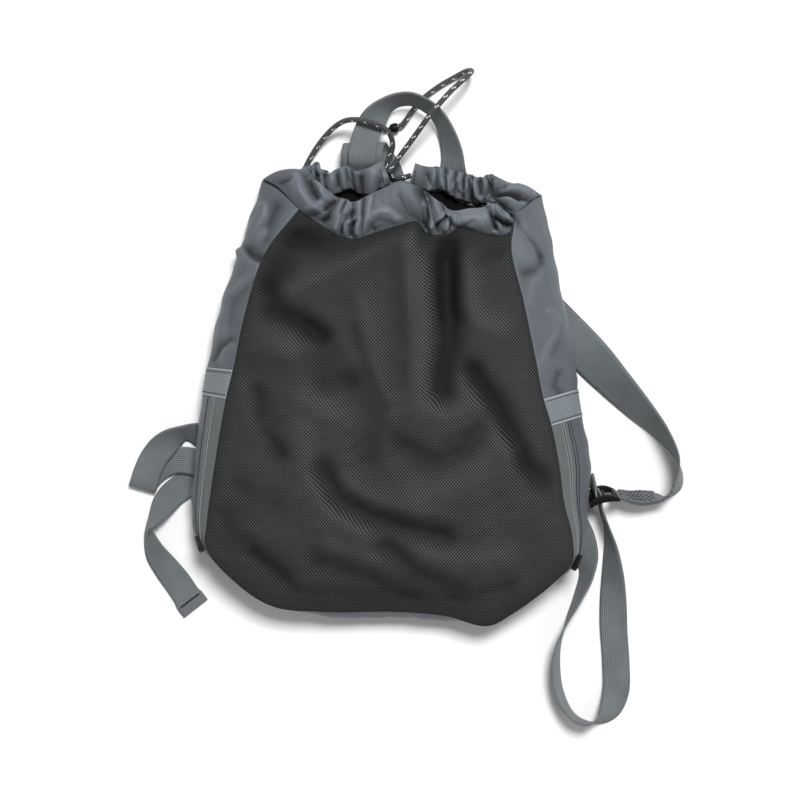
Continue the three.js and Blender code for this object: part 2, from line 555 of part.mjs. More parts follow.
// Cord stop: a bell with a short stem, turned about its length.
const STOP_PROFILE = [[0, -8], [1.7, -8], [1.7, -2.6], [3.6, -1.6], [4.4, 1], [4.4, 4], [3.4, 5.4], [0, 5.4]];
function cordStop() {
  return new THREE.LatheGeometry(STOP_PROFILE.map(([r, h]) => new THREE.Vector2(r, h)), 12);
}

const bag = new THREE.Group();
function piece(name, geometry, material, parent = bag) {
  const mesh = new THREE.Mesh(geometry, material);
  mesh.name = name;
  parent.add(mesh);
  return mesh;
}

const NET_WIDE = 290;
const NET_TALL = 320;
const GUSSET_WIDE = 75;
const seamU = SEAM_INSET / NET_WIDE;
const seamV = SEAM_INSET / NET_TALL;
const ROW_GAP = 0.006;

piece('front_mesh_panel', clothWall(patch(netFront, seamU, 1 - seamU, 1 - seamV, seamV), 22, 26, NET_WALL), NET);
piece('back_panel', clothWall(patch(back, seamU, 1 - seamU, 1 - seamV, seamV), 10, 12, BACK_WALL), NYLON);

// Share of the gusset's width that the seam takes up at one of its edges, 0 or 1.
function seamShare(row, edge) {
  const step = edge === 0 ? 1e-3 : -1e-3;
  return (SEAM_INSET * step) / gusset(row, edge).distanceTo(gusset(row, edge + step));
}

// One piece of the gusset between two rows and two shares of its width.
function gussetPiece(name, firstRow, lastRow, firstShare, lastShare, steps, thickness, material) {
  const { lerp } = THREE.MathUtils;
  const surface = (u, v) => {
    const row = lerp(firstRow + ROW_GAP, lastRow - ROW_GAP, u);
    const start = firstShare + (firstShare === 0 ? seamShare(row, 0) : 0);
    const end = lastShare + (lastShare === 1 ? seamShare(row, 1) : 0);
    return gusset(row, lerp(start, end, v));
  };
  return piece(name, clothWall(surface, steps, 6, thickness), material);
}
const zipGap = PIECE_GAP / GUSSET_WIDE;
const zipEndLeft = ZIP_SHARE_LEFT - zipGap;
const zipEndRight = ZIP_SHARE_RIGHT - zipGap;
const pocketStartLeft = ZIP_SHARE_LEFT + zipGap;
const pocketStartRight = ZIP_SHARE_RIGHT + zipGap;
gussetPiece('side_panel_left', LEFT_SHOULDER, LEFT_ELASTIC_TOP, 0, 1, 12, NYLON_WALL, NYLON);
gussetPiece('elastic_band_left', LEFT_ELASTIC_TOP, LEFT_ELASTIC_END, 0, 1, 2, ELASTIC_WALL, ELASTIC);
gussetPiece('zip_tape_left', LEFT_ELASTIC_END, LEFT_CORNER, 0, zipEndLeft, 9, ZIP_WALL, TAPE);
gussetPiece('side_pocket_left', LEFT_ELASTIC_END, LEFT_CORNER, pocketStartLeft, 1, 9, NYLON_WALL, NYLON);
gussetPiece('bottom_panel', LEFT_CORNER, RIGHT_CORNER, 0, 1, 27, NYLON_WALL, NYLON);
gussetPiece('zip_tape_right', RIGHT_CORNER, RIGHT_ELASTIC_END, 0, zipEndRight, 12, ZIP_WALL, TAPE);
gussetPiece('side_pocket_right', RIGHT_CORNER, RIGHT_ELASTIC_END, pocketStartRight, 1, 12, NYLON_WALL, NYLON);
gussetPiece('elastic_band_right', RIGHT_ELASTIC_END, RIGHT_ELASTIC_TOP, 0, 1, 2, ELASTIC_WALL, ELASTIC);
gussetPiece('side_panel_right', RIGHT_ELASTIC_TOP, RIGHT_SHOULDER, 0, 1, 12, NYLON_WALL, NYLON);

const casingWide = 34;
const casingStart = (SEAM_INSET + PIECE_GAP) / casingWide;
const casingLast = CASING_ROWS.length - 1;
piece('drawstring_casing', clothWall(patch(casing, 0, casingLast, casingStart, 1), 92, 4, CASING_WALL), NYLON);

piece('carry_handle', webbing(HANDLE_ROWS, 44), WEB);
piece('shoulder_strap_right', webbing(STRAP_RIGHT_ROWS, 40), WEB);
piece('shoulder_strap_left', webbing(STRAP_LEFT_ROWS, 48), WEB);
piece('adjuster_left', webbing(ADJUSTER_LEFT_ROWS, 72), WEB);
piece('adjuster_right', webbing(ADJUSTER_RIGHT_ROWS, 60), WEB);
piece('adjuster_right_tail', webbing(ADJUSTER_TAIL_ROWS, 12), WEB);

const LOCK_RIGHT_PLACE = [178, -80, 17];
const LOCK_RIGHT_TILT = -75;
const LOCK_RIGHT_TURN = 10;
const LOCK_RIGHT_THICK = 5;
const LOCK_RIGHT_ARCH = 4;
const lockRight = piece('ladder_lock_right', ladderLock(LOCK_RIGHT_THICK, LOCK_RIGHT_ARCH), ACETAL);
lockRight.position.set(...LOCK_RIGHT_PLACE);
lockRight.rotation.set(rad(LOCK_RIGHT_TILT), 0, rad(LOCK_RIGHT_TURN), 'ZYX');
const LOCK_LEFT_PLACE = [-147, -21, 2.3];
const LOCK_LEFT_TURN = 20;
const LOCK_LEFT_THICK = 3.6;
const lockLeft = piece('ladder_lock_left', ladderLock(LOCK_LEFT_THICK, 0), ACETAL);
lockLeft.position.set(...LOCK_LEFT_PLACE);
lockLeft.rotation.set(0, 0, rad(LOCK_LEFT_TURN));

// Zip sliders lie on their tapes, pulls along the zip.
function seatSlider(name, row, share, facing) {
  const tape = (u, v) => gusset(u * (GUSSET_ROWS.length - 1), v);
  const rowShare = row / (GUSSET_ROWS.length - 1);
  const outward = surfaceNormal(tape, rowShare, share).negate();
  const along = gusset(row + 0.05, share).sub(gusset(row - 0.05, share)).multiplyScalar(facing).normalize();
  const side = new THREE.Vector3().crossVectors(outward, along).normalize();
  const slider = piece(name, zipSlider(), ACETAL);
  const lift = (ZIP_WALL + PULL_THICK) / 2 + PULL_CLEARANCE;
  slider.applyMatrix4(new THREE.Matrix4().makeBasis(along, side, outward));
  slider.position.copy(gusset(row, share).addScaledVector(outward, lift));
}
seatSlider('zip_slider_left', 6.8, 0.16, 1);
seatSlider('zip_slider_right', 16.05, 0.1, -1);

piece('drawcord_left', cordTube(CORD_LEFT_ROUTE, 56), CORD);
piece('drawcord_right', cordTube(CORD_RIGHT_ROUTE, 52), CORD);
const STOP_PLACE = [-13.4, 256.5, 4.8];
const STOP_TURN = 78;
const stop = piece('cord_stop', cordStop(), ACETAL);
stop.position.set(...STOP_PLACE);
stop.rotation.set(0, 0, rad(-STOP_TURN));

export default bag;
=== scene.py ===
# A mesh backpack lying on its back, seen from straight above: net front up, mouth at the top.
# Tables are in millimetres in the row frame; meshes are written in metres.
import math

import bmesh
import bpy
import numpy as np
from mathutils import Matrix, Vector


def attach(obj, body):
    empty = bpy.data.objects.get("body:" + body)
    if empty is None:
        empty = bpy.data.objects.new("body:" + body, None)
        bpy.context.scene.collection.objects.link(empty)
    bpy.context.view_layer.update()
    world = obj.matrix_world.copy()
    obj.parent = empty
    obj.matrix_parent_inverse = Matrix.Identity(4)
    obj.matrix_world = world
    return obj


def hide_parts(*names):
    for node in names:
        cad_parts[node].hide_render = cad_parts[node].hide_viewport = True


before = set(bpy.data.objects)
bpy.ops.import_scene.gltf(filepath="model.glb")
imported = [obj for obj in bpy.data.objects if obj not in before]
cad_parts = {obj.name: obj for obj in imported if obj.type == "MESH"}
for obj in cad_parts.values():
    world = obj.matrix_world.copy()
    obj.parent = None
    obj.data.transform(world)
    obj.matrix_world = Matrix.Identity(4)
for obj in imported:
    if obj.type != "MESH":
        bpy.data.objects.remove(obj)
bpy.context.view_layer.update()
MM = 0.001

# Sizes
NYLON_WALL = 1.2
NET_WALL = 1.4
BACK_WALL = 2.0
CASING_WALL = 1.4
ELASTIC_WALL = 2.2
ZIP_WALL = 1.6
WEBBING = 25
STRAP = 38
STRAP_FOLDED = 20
WEB = 1.6
FOLDED = 3.0
CORD_DIAMETER = 5
CORD_POINTS = 160
COIL_PITCH = 1.6
COIL_OFFSET = 1.0
COIL_SHARE = 0.6
COIL_RADIUS = 0.75
COIL_SWELL = 0.3
COIL_STEPS = 6
ZIP_POINTS = 120
ZIP_SHUT_RADIUS = 0.4
ZIP_OPEN_RADIUS = 1.5
ZIP_OPEN_SHARE = 0.22
ZIP_EDGE_RADIUS = 0.6
NET_SEAM_RADIUS = 1.1
CASING_SEAM_RADIUS = 0.6
POCKET_SEAM_RADIUS = 0.4
OVERLOCK_RADIUS = 0.45
HEM_THREAD_RADIUS = 0.8
# Elastic bands. Columns: edge, shares across the band of its overlocked thread and of its stitches.
ELASTIC_EDGES = [("lower", 0.03, 0.11), ("upper", 0.97, 0.89)]
POCKET_SEAM_SHARE = 0.05
# Stitches. Columns: pitch, length, radius.
ELASTIC_STITCH = (2.6, 1.9, 0.4)
CASING_STITCH = (3.4, 2.4, 0.45)
STRAP_STITCH = (2.4, 1.8, 0.4)
EDGE_RADIUS = 1.8
# Factors on the heights in the fold tables.
NET_SLACK = 0.85
CASING_SLACK = 1.7
# Painted shade counted in millimetres of fold: extra depth painted at the net's sewn edges and top, and the
# highest ridge painted on the sides.
EDGE_SHADE = 3.5
RIDGE_TONE = 0.6
# How far the net's weave is drawn aside by each millimetre of fold.
NET_DRIFT = 0.25
NET_WIDTH = 290
NET_HEIGHT = 320
# Small ripples of the net. Columns: height, seed, wavelength, turn.
NET_RIPPLES = [(0.5, 3, 34, 0.6), (0.25, 8, 15, 1.9)]
# Small ripples of the sides: wavelength, turn, stretch.
SIDE_RIPPLE = (26, 1.2, 1.6)
GUSSET_GIRTH = 75
LOCK_LENGTH = 28
LOCK_WIDTH = 30
LOCK_RAIL = 3
LOCK_ARCH = 4
LOCK_PLACE = (178, -80, 17)
LOCK_TILT = -75
LOCK_TURN = 10
RAIL_HALF = 3.6
RAIL_TAPER_STRAP_END = 2.7
RAIL_TAPER_FAR_END = 0.6
LOCK_BEVEL = 0.6
LOCK_SHARP = 0.6
# Columns: place along the lock, half width, half thickness.
LOCK_BARS = [(-9, 4.6, 2.4), (1, 1.6, 1.6), (11, 2.2, 2)]
BACK_HEIGHT = 6
BACK_TOP_HEIGHT = 7.2
BACK_LOW = 1.2
# The back lies lowest round this place, over this reach each way.
BACK_LOW_MIDDLE = (-8, -85)
BACK_LOW_REACH = (105, 85)
BACK_LOW_GAIN = 1.3
NET_CROWN = 26
SEAM_INSET = 0.5
PHOTO_SIDE = 736
CAMERA_HEIGHT = 1600
CAMERA_PLACE = (-6.4, 7.4)
BAG_MIDDLE = (0, 120, 20)
SENSOR = 36
FLOOR_HALF_SIDE = 4000
FLOOR_DROP = 0.4
WORLD_STRENGTH = 0.3
# Columns: name, place in metres, watts, side in metres.
LIGHTS = [("key", (0.7, 1.9, 4.2), 222, 1.3), ("fill", (3.6, -1.8, 4.8), 30, 3)]

# The cord stop, a bell turned about its length. Columns: radius, place along it.
CORD_STOP_PROFILE = [(0, -8), (1.7, -8), (1.7, -2.6), (3.6, -1.6), (4.4, 1), (4.4, 4), (3.4, 5.4), (0, 5.4)]
CORD_STOP_PLACE = (-13.4, 256.5, 4.8)
CORD_STOP_TURN = -78
CORD_STOP_BEVEL = 0.35
CORD_STOP_SHARP = 0.5

# Gusset sections from the left shoulder round the bottom to the right shoulder.
# Columns: front seam x, y, z; widest place x, y; back seam x, y.
GUSSET_ROWS = np.array([
    [-96, 178, 41, -130, 206, -118, 194],
    [-126, 139, 45, -147, 155, -134, 150],
    [-143, 88, 50, -168, 92, -154, 90],
    [-154, 34, 55, -180, 37, -165, 36],
    [-160, 8, 57, -184, 12, -169, 10],
    [-169, -45, 58, -191, -45, -177, -45],
    [-177, -101, 55, -193, -103, -181, -102],
    [-178, -124, 52, -184, -126, -174, -124],
    [-154, -154, 46, -152, -154, -146, -150],
    [-120, -177, 40, -119, -177, -114, -172],
    [-73, -182, 38, -72, -188, -70, -180],
    [-6, -182, 37, -6, -190, -6, -182],
    [35, -186, 36, 35, -192, 34, -184],
    [72, -195, 36, 71, -193, 69, -185],
    [94, -184, 38, 93, -184, 90, -178],
    [131, -155, 45, 130, -156, 124, -152],
    [146, -137, 50, 153, -139, 142, -135],
    [146, -115, 53, 161, -114, 149, -113],
    [138, -82, 56, 163, -80, 151, -80],
    [134, -52, 58, 165, -49, 152, -51],
    [127, -16, 58, 157, -8, 145, -12],
    [120, 8, 57, 153, 17, 140, 12],
    [113, 44, 55, 151, 44, 137, 44],
    [102, 98, 51, 139, 98, 125, 98],
    [92, 143, 46, 131, 143, 118, 143],
    [96, 173, 42, 121, 193, 112, 186],
], float)
LEFT_SHOULDER, LEFT_ELASTIC_TOP, LEFT_ELASTIC_END, LEFT_CORNER = 0, 3, 4, 7
RIGHT_CORNER, RIGHT_ELASTIC_END, RIGHT_ELASTIC_TOP, RIGHT_SHOULDER = 16, 20, 21, 25
ZIP_SHARE_LEFT = 0.26
ZIP_SHARE_RIGHT = 0.18
WIDEST_SHARE = 0.45
WIDEST_LIFT = 3

# Casing stations from the gap at the back, leftwards round to it again.
# Columns: seam x, y, z; mouth edge x, y, z.
CASING_ROWS = np.array([
    [-15, 204, 10, -22, 224, 19],
    [-39, 194, 9, -46, 214, 19],
    [-50, 200, 9, -55, 219, 20],
    [-63, 196, 9, -72, 213, 18],
    [-75, 198, 9, -80, 222, 18],
    [-94, 195, 9, -89, 218, 21],
    [-115, 197, 10, -93, 217, 28],
    [-130, 207, 24, -91, 213, 36],
    [-116, 199, 33, -84, 204, 42],
    [-96, 178, 41, -75, 196, 46],
    [-80, 166, 45, -65, 187, 49],
    [-62, 155, 47, -56, 184, 52],
    [-47, 151, 48, -48, 181, 54],
    [-36, 154, 49, -30, 189, 57],
    [-20, 159, 50, -18, 194, 59],
    [-6, 163, 51, -6, 199, 60],
    [9, 166, 51, 4, 196, 60],
    [18, 156, 48, 15, 190, 58],
    [34, 155, 48, 26, 183, 56],
    [48, 162, 47, 39, 174, 53],
    [67, 157, 46, 56, 176, 50],
    [85, 155, 45, 70, 178, 47],
    [94, 160, 44, 74, 183, 45],
    [96, 173, 42, 76, 188, 43],
    [105, 181, 37, 78, 192, 40],
    [113, 188, 31, 80, 196, 36],
    [121, 193, 22, 81, 201, 31],
    [112, 189, 10, 80, 210, 24],
    [90, 188, 9, 75, 211, 19],
    [72, 185, 9, 67, 208, 17],
    [58, 185, 9, 56, 211, 17],
    [46, 190, 9, 45, 214, 17],
    [35, 198, 9, 30, 218, 17],
    [19, 198, 9, 17, 218, 17],
    [2, 203, 10, 7, 221, 17],
], float)
FRONT_LEFT_STATION, FRONT_RIGHT_STATION = 9, 23
BACK_TOP_STATIONS = [5, 4, 3, 2, 1, 0, 34, 33, 32, 31, 30, 29, 28]
# Columns: station, puff outwards half-way up.
CASING_PUFF = np.array([[0, -2.5], [5, -2], [7, 5], [9, 5], [22, 5], [26, 5], [28, -2], [34, -2.5]])

# Fine gathers round the casing. Columns: station, depth.
GATHERS = np.array([
    [0, 0], [0.8, 0.4], [1.4, 3], [5, 3], [6, 1], [7, 0.3], [9.6, 0.3], [10.4, 2], [11, 4], [12.6, 4],
    [13.1, 0.2], [16.5, 0.2], [17, 3.5], [18.8, 3.5], [19.3, 0.5], [20.3, 0.5], [21, 3.5], [23.5, 4],
    [24.2, 1], [27, 1], [28, 2.5], [29, 4], [32.5, 3.5], [33.4, 0.5], [34, 0],
])
GATHER_PITCH = 10.5
GATHER_ROUNDNESS = 0.9
GATHER_MEAN = 0.68
# Shares of the casing's cloth: up to the mouth, over its edge, and where the inside ends above the seam.
CASING_UP = 0.56
CASING_OVER = 0.12
CASING_INSIDE_END = 0.15
# The front folds lie between these stations and fade out over a stretch at each end.
CASING_FRONT = (6, 27)
CASING_FADE = 1.2
CASING_CREASE = 1.0
SIDE_CREASE = 1.5
HEM_FIRST_ROW = 37
HEM_SHARES = (0.006, 0.994)
# Stations of the dark seams at the shoulders.
SHOULDER_SEAMS = [("left", 6.6, 9), ("right", 23, 26.4)]

# Casing stations where the shoulder ends of the side panels go in under it.
TUCK_SHARES = [0, 0.25, 0.5, 0.95, 1]
LEFT_TUCK = [9, 8, 7, 6, 5.9]
RIGHT_TUCK = [23, 25, 26, 27, 27.1]
TUCK_STEPS = (1, 3, 6, 9)
TUCK_DEPTH = 1.4

# Folds. Columns: height, half widths left and right of the path, path of x, y.
NET_FOLDS = [
    [11, 10, 16, (4, 160), (12, 121), (15, 69), (13, 20), (20, 0), (34, -8), (48, 0)],
    [-11, 13, 13, (36, 149), (37, 104), (36, 55), (29, 16)],
    [8, 15, 10, (54, 130), (51, 95), (62, 76), (79, 69)],
    [-4, 9, 9, (60, 130), (78, 138)],
    [-8, 10, 10, (59, 32), (82, -2), (105, -48), (122, -65)],
    [4, 12, 12, (48, 25), (69, -6), (86, -36)],
    [-6, 10, 10, (-5, -32), (23, -49), (50, -38), (66, -12)],
    [5, 16, 16, (7, -83), (38, -70), (81, -41)],
    [-9, 10, 10, (-75, -54), (-62, -80), (-32, -96), (8, -107), (33, -113)],
    [6, 12, 12, (-94, -25), (-86, -61), (-65, -95), (-42, -111)],
    [-7, 10, 10, (-17, -123), (13, -147), (44, -161)],
    [5, 12, 12, (11, -129), (46, -137), (86, -133)],
    [-6, 10, 10, (-78, -135), (-33, -150), (4, -168)],
    [-8, 10, 10, (-123, 87), (-95, 74), (-75, 62)],
    [6, 12, 12, (-100, 102), (-62, 123), (-24, 147), (7, 161)],
    [-6, 10, 10, (-107, 157), (-78, 150), (-54, 150)],
    [-5, 10, 10, (-75, 22), (-55, 22)],
    [4, 10, 10, (-40, 95), (-31, 40), (-17, -1)],
    [-4, 10, 10, (-8, 128), (-6, 69), (-5, 21)],
    [-5, 11, 11, (-45, 26), (-30, -4), (-32, -45)],
    [-4, 11, 11, (-130, 12), (-118, -15), (-112, -40)],
    [-5, 11, 11, (-161, -96), (-156, -112), (-110, -144)],
    [5, 20, 20, (-112, 54), (-106, 52)],
    [6, 20, 20, (-80, -6), (-70, -8)],
]
NET_CREASES = [
    [3, 8, 8, (-55, -63), (-28, -80), (9, -91)],
    [3, 8, 8, (-68, -122), (-24, -136)],
    [-4, 8, 8, (-135, -131), (-95, -163), (-24, -171), (49, -171), (91, -157)],
    [-3, 10, 10, (-147, -70), (-116, -85)],
    [-8, 12, 10, (31, 164), (36, 120), (37, 85)],
    [-7, 16, 16, (-70, 158), (-100, 150), (-128, 112)],
    [-4, 7, 9, (52, 40), (72, 8), (95, -30), (110, -66)],
    [-3.5, 7, 7, (-134, 14), (-130, -16), (-112, -40)],
    [-4, 9, 9, (-126, 108), (-100, 84), (-76, 67)],
    [-3, 8, 8, (-95, 98), (-57, 117), (-10, 146)],
    [-3, 6, 6, (-49, 71), (-36, 33), (-19, -2)],
    [-4, 12, 12, (-140, 40), (-100, 36), (-66, 44)],
    [3, 9, 9, (-96, 8), (-62, -10)],
]
SIDE_FOLDS = [
    [2, 3, 4, (-130, 183), (-131, 174), (-136, 167), (-142, 158)],
    [2.5, 5, 6, (-151, 146), (-139, 153), (-129, 158)],
    [-4, 6, 6, (-146, 146), (-139, 137), (-129, 132)],
    [3, 3, 4, (-152, 142), (-146, 136), (-139, 129), (-133, 127)],
    [2, 4, 4, (-134, 124), (-145, 113), (-155, 103)],
    [-1.5, 5, 5, (-138, 116), (-148, 104)],
    [-2.5, 6, 6, (-117, 181), (-123, 169), (-126, 153)],
    [1.5, 5, 5, (-162, 96), (-167, 65)],
    [-1.2, 5, 5, (-153, 103), (-159, 76)],
    [-2.5, 4, 4, (-157, 60), (-166, 55), (-173, 43)],
    [2, 3, 3, (-156, 56), (-162, 49), (-164, 40)],
    [-3, 2.5, 5, (94, 176), (102, 162), (115, 146), (122, 135)],
    [3, 9, 9, (102, 156), (108, 142)],
    [-2.5, 5, 5, (105, 121), (116, 123), (123, 131)],
    [1.5, 4, 4, (124, 131), (116, 115), (112, 104), (109, 93)],
    [2, 4, 3, (128, 86), (135, 76), (133, 65), (125, 51), (118, 37)],
    [-1.5, 4, 4, (137, 73), (135, 61), (129, 48)],
    [-2.5, 4, 4, (135, 30), (131, 19), (136, 14)],
    [1, 4, 4, (115, 185), (124, 148), (136, 104), (144, 67)],
]
CASING_FRONT_FOLDS = [
    [-1.5, 2.5, 2.5, (-113, 201), (-92, 208)],
    [3, 2.5, 6, (-96, 205), (-93, 194), (-86, 183), (-76, 176)],
    [-3, 3, 3, (-88, 203), (-84, 194), (-78, 186)],
    [2.5, 2.5, 2.5, (-80, 203), (-75, 195), (-70, 187)],
    [3, 4, 4, (-75, 196), (-74, 186), (-80, 178), (-88, 175)],
    [-3.5, 3, 3, (-66, 184), (-76, 174), (-88, 172)],
    [-3, 2.5, 2.5, (-76, 167), (-69, 170)],
    [4, 3, 3, (-64, 157), (-55, 173), (-50, 178)],
    [-4, 2.5, 2.5, (-60, 153), (-53, 171), (-49, 176)],
    [3, 2.2, 2.2, (-55, 153), (-54, 165), (-46, 169)],
    [-5, 2.5, 2.5, (-50, 156), (-48, 162), (-45, 168)],
    [3, 2.5, 2.5, (-44, 150), (-45, 160), (-42, 169)],
    [-0.8, 4, 4, (-7, 188), (0, 174), (8, 168), (15, 164)],
    [1.4, 3, 5, (-40, 157), (-37, 166), (-31, 173), (-24, 176), (-17, 175), (-8, 169)],
    [-1.4, 3, 3, (-35, 157), (-31, 164), (-24, 168), (-15, 168)],
    [0.8, 2.5, 2.5, (-30, 157), (-28, 164), (-21, 169), (-11, 168)],
    [-3.5, 1.8, 1.8, (-29, 160), (-29, 153)],
    [-4.5, 3, 3, (12, 192), (18, 182), (19, 169), (18, 160)],
    [3, 2.5, 2.5, (18, 185), (22, 172), (21, 159)],
    [-4, 2, 2, (26, 164), (31, 169), (34, 172)],
    [3, 2, 2, (22, 163), (26, 168), (33, 174), (37, 172), (35, 164), (34, 160)],
    [-4, 2, 2, (38, 171), (37, 160)],
    [2.5, 2, 2, (41, 171), (39, 160)],
    [-1.5, 2, 2, (46, 162), (57, 167)],
    [1.5, 8, 8, (52, 171), (70, 172)],
    [3.5, 2, 2, (73, 179), (76, 170), (81, 163), (82, 159), (78, 157)],
    [-6, 1.8, 1.8, (74, 173), (77, 165), (80, 159)],
    [4, 2.2, 2.2, (77, 181), (80, 173), (87, 169), (93, 167)],
    [-8, 2.2, 2.2, (78, 170), (86, 165), (94, 165)],
    [3, 2, 2, (80, 181), (84, 175), (90, 173)],
    [-8, 2.2, 2.2, (79, 183), (87, 176), (94, 173)],
    [2.5, 2.5, 2.5, (80, 186), (94, 184), (109, 181)],
    [-7, 2.2, 2.2, (81, 191), (90, 191), (99, 189)],
    [2.5, 2.5, 2.5, (85, 194), (98, 195), (112, 191)],
    [-1.5, 2, 2, (91, 207), (86, 195)],
    [-5, 2.5, 2.5, (75, 206), (79, 195)],
    [-4, 2.2, 2.2, (84, 189), (98, 186), (110, 187)],
]
CASING_BACK_FOLDS = [
    [-2.5, 1.8, 1.8, (-83, 220), (-83, 208)],
    [3, 3, 3, (-79, 221), (-78, 204)],
    [-3, 2, 2, (-74, 212), (-72, 199)],
    [3.5, 3, 3, (-69, 211), (-68, 196)],
    [-3, 2, 2, (-64, 212), (-63, 204)],
    [2.5, 2.5, 2.5, (-59, 217), (-58, 204)],
    [-2, 2, 2, (-55, 217), (-53, 210)],
    [3, 6, 6, (-32, 215), (-35, 192)],
    [-2, 3, 3, (-26, 208), (-28, 193)],
    [2, 3, 3, (-21, 212), (-24, 194)],
    [-3.5, 2.5, 2.5, (-42, 210), (-40, 197)],
    [2, 1.5, 1.5, (48, 208), (49, 201), (52, 198), (54, 202), (54, 209)],
    [-2.5, 1.5, 1.5, (51, 207), (52, 201)],
    [2, 1.5, 1.5, (38, 212), (41, 201), (47, 210)],
    [-3, 2, 2, (56, 208), (58, 190)],
    [2.5, 2, 2, (60, 207), (63, 195), (67, 192)],
    [-2.5, 1.6, 1.6, (65, 206), (67, 196)],
    [2.5, 1.8, 1.8, (71, 207), (69, 194)],
    [-2.5, 1.5, 1.5, (75, 206), (74, 197)],
    [2, 2, 2, (25, 217), (23, 208), (19, 200)],
    [-2, 2, 2, (19, 213), (21, 206)],
    [1.5, 4, 4, (34, 206), (45, 190)],
]

# Webbing stations. Columns: centre x, y, z; plan heading and tilt in degrees of the line from the
# right edge to the left edge; and width and thickness where they aren't the strap's own.
HANDLE_ROWS = [
    [-41, 201, 5.6, 180, 0],
    [-41, 210, 6.7, 180, 0],
    [-41, 217, 12.4, 180, 0],
    [-41, 224, 19.6, 180, 0],
    [-41, 232, 22, 180, 0],
    [-39, 242, 21.6, 178, 0],
    [-35, 254, 20, 172, 5],
    [-28, 266, 19.5, 152, 35],
    [-19, 275, 19, 128, 62],
    [-9, 280, 19, 105, 70],
    [3, 281, 19.5, 84, 72],
    [14, 277, 19.5, 64, 72],
    [24, 270, 19, 49, 70],
    [31, 261, 17.5, 37, 65],
    [37, 248, 14, 20, 56],
    [41, 233, 10, 9, 43],
    [42, 219, 7.4, 3, 28],
    [43, 208, 4, 0, 8],
    [43, 198, 3, 0, 0],
]
STRAP_RIGHT_ROWS = [
    [28, 196, 1.1, 30, 0],
    [67, 155, 1.1, 38, 0],
    [113, 104, 1.1, 40, 0],
    [139, 77, 2.6, 40, 5],
    [165, 50, 7.5, 40, 20],
    [190, 22, 13.7, 40, 42],
    [212, -2, 17.2, 37, 58],
    [231, -23, 19.6, 33, 75],
    [244, -43, 20.2, 20, 90],
    [248, -59, 19.6, 0, 104],
    [246, -71, 18.8, -20, 110, 36, WEB],
    [238, -80, 15.4, -60, 100, 30, WEB],
    [228, -82, 12, -85, 70, STRAP_FOLDED, WEB],
    [214, -82.5, 13.6, -88, 58, STRAP_FOLDED, WEB],
    [204, -82, 15.2, -84, 64, STRAP_FOLDED, WEB],
    [193.4, -79.4, 16.6, -80, 75, STRAP_FOLDED, FOLDED],
    [188, -81.2, 16.6, -80, 75, STRAP_FOLDED, FOLDED],
]
STRAP_LEFT_ROWS = [
    [-18, 197, 1.2, 200, 0],
    [-22, 212, 1.2, 200, 0],
    [-28, 226, 1.2, 192, 0],
    [-34, 236, 3.2, 184, 0],
    [-38.5, 242, 10, 181, 0],
    [-41, 233, 18, 180, 0],
    [-41, 223, 15.2, 180, 0],
    [-40.5, 216, 8.4, 180, 0],
    [-40, 209, 4.1, 180, 0],
    [-41, 196, 3.4, 174, 0],
    [-53, 170, 2.6, 160, 0],
    [-80, 118, 1.4, 153, 0],
    [-116, 49, 1.2, 153, 0],
    [-130, 20, 1.2, 155, 0, 32, WEB],
    [-138, -2, 1.6, 160, 0, WEBBING, WEB],
]
ADJUSTER_LEFT_ROWS = [
    [-166, -26, 2.4, -90, 0],
    [-176, -26, 2.4, -90, 0],
    [-190, -25, 6.9, -90, -25],
    [-204, -23, 12, -80, -58],
    [-218, -31, 12, -49, -30],
    [-230, -43, 9.6, -24, 0],
    [-237, -57, 9.2, -18, 0],
    [-241, -69, 8.6, -16, 0],
    [-243, -74, 5.6, -16, 0],
    [-240, -68, 2.6, -17, 0],
    [-230, -57, 3, -30, 0],
    [-217, -49, 4.4, -60, 0],
    [-202, -48, 5, -88, 0],
    [-190, -51, 4.2, -98, 0],
    [-179, -54, 4, -100, 0],
    [-173, -57, 2.5, -98, 0],
    [-180, -60, 1.2, -80, 0],
    [-197, -67, 1.1, -62, 0],
    [-214, -78, 1.4, -58, 2],
    [-226, -91, 7.4, -57, 30],
    [-234, -102, 11.8, -75, 55],
    [-237, -112, 13, 34, 70],
    [-236, -120, 9.7, 58, 43],
    [-231, -132, 8, 45, 33],
    [-222, -145, 5, 39, 18],
    [-211, -160, 1.6, 33, 2],
    [-203, -172, 1.2, 33, 0],
    [-200, -176, 1.7, 36, 0, 27, FOLDED],
    [-194, -184, 1.7, 38, 0, 27, FOLDED],
]
ADJUSTER_RIGHT_ROWS = [
    [141, -88, 3.7, 45, 0],
    [154, -106, 3.7, 37, 2],
    [162, -126, 5, 8, 18],
    [164, -151, 12.6, -14, 66],
    [156, -173, 13.4, -20, 80],
    [148, -190, 13.6, -22, 90],
    [143, -202, 13.4, -20, 98],
    [138, -216, 13.2, -10, 105],
    [136, -239, 12.8, 5, 110],
    [140, -262, 13, 24, 108],
    [151, -281, 13.4, 53, 100],
    [163, -287, 13.6, 90, 90],
    [176, -285, 12.4, 120, 65],
    [186, -276, 8.5, 150, 35],
    [192, -259, 3.9, 174, 12],
    [192, -233, 1.7, 180, 2],
    [190, -204, 2, 184, -2],
    [189, -177, 6.3, 182, -25],
    [188, -149, 10.6, 182, -50],
    [186, -127, 12.8, 184, -70],
    [182, -108, 14.2, 170, -86],
    [178, -96, 15.4, 115, -80],
    [175.6, -84.4, 16.4, 100, -75, 23.6, WEB],
    [175.4, -76, 17.6, 100, -75, 23.6, WEB],
]
ADJUSTER_TAIL_ROWS = [
    [163.8, -63.6, 12.4, 225, -58],
    [167.1, -69.8, 15.4, 195, -74],
    [170.5, -77.1, 17.9, 104, -75, 23.6, WEB],
    [172, -82, 17.2, 100, -75, 23.6, WEB],
]
STRAP_STEPS = 180
STRAP_COLUMNS = 10
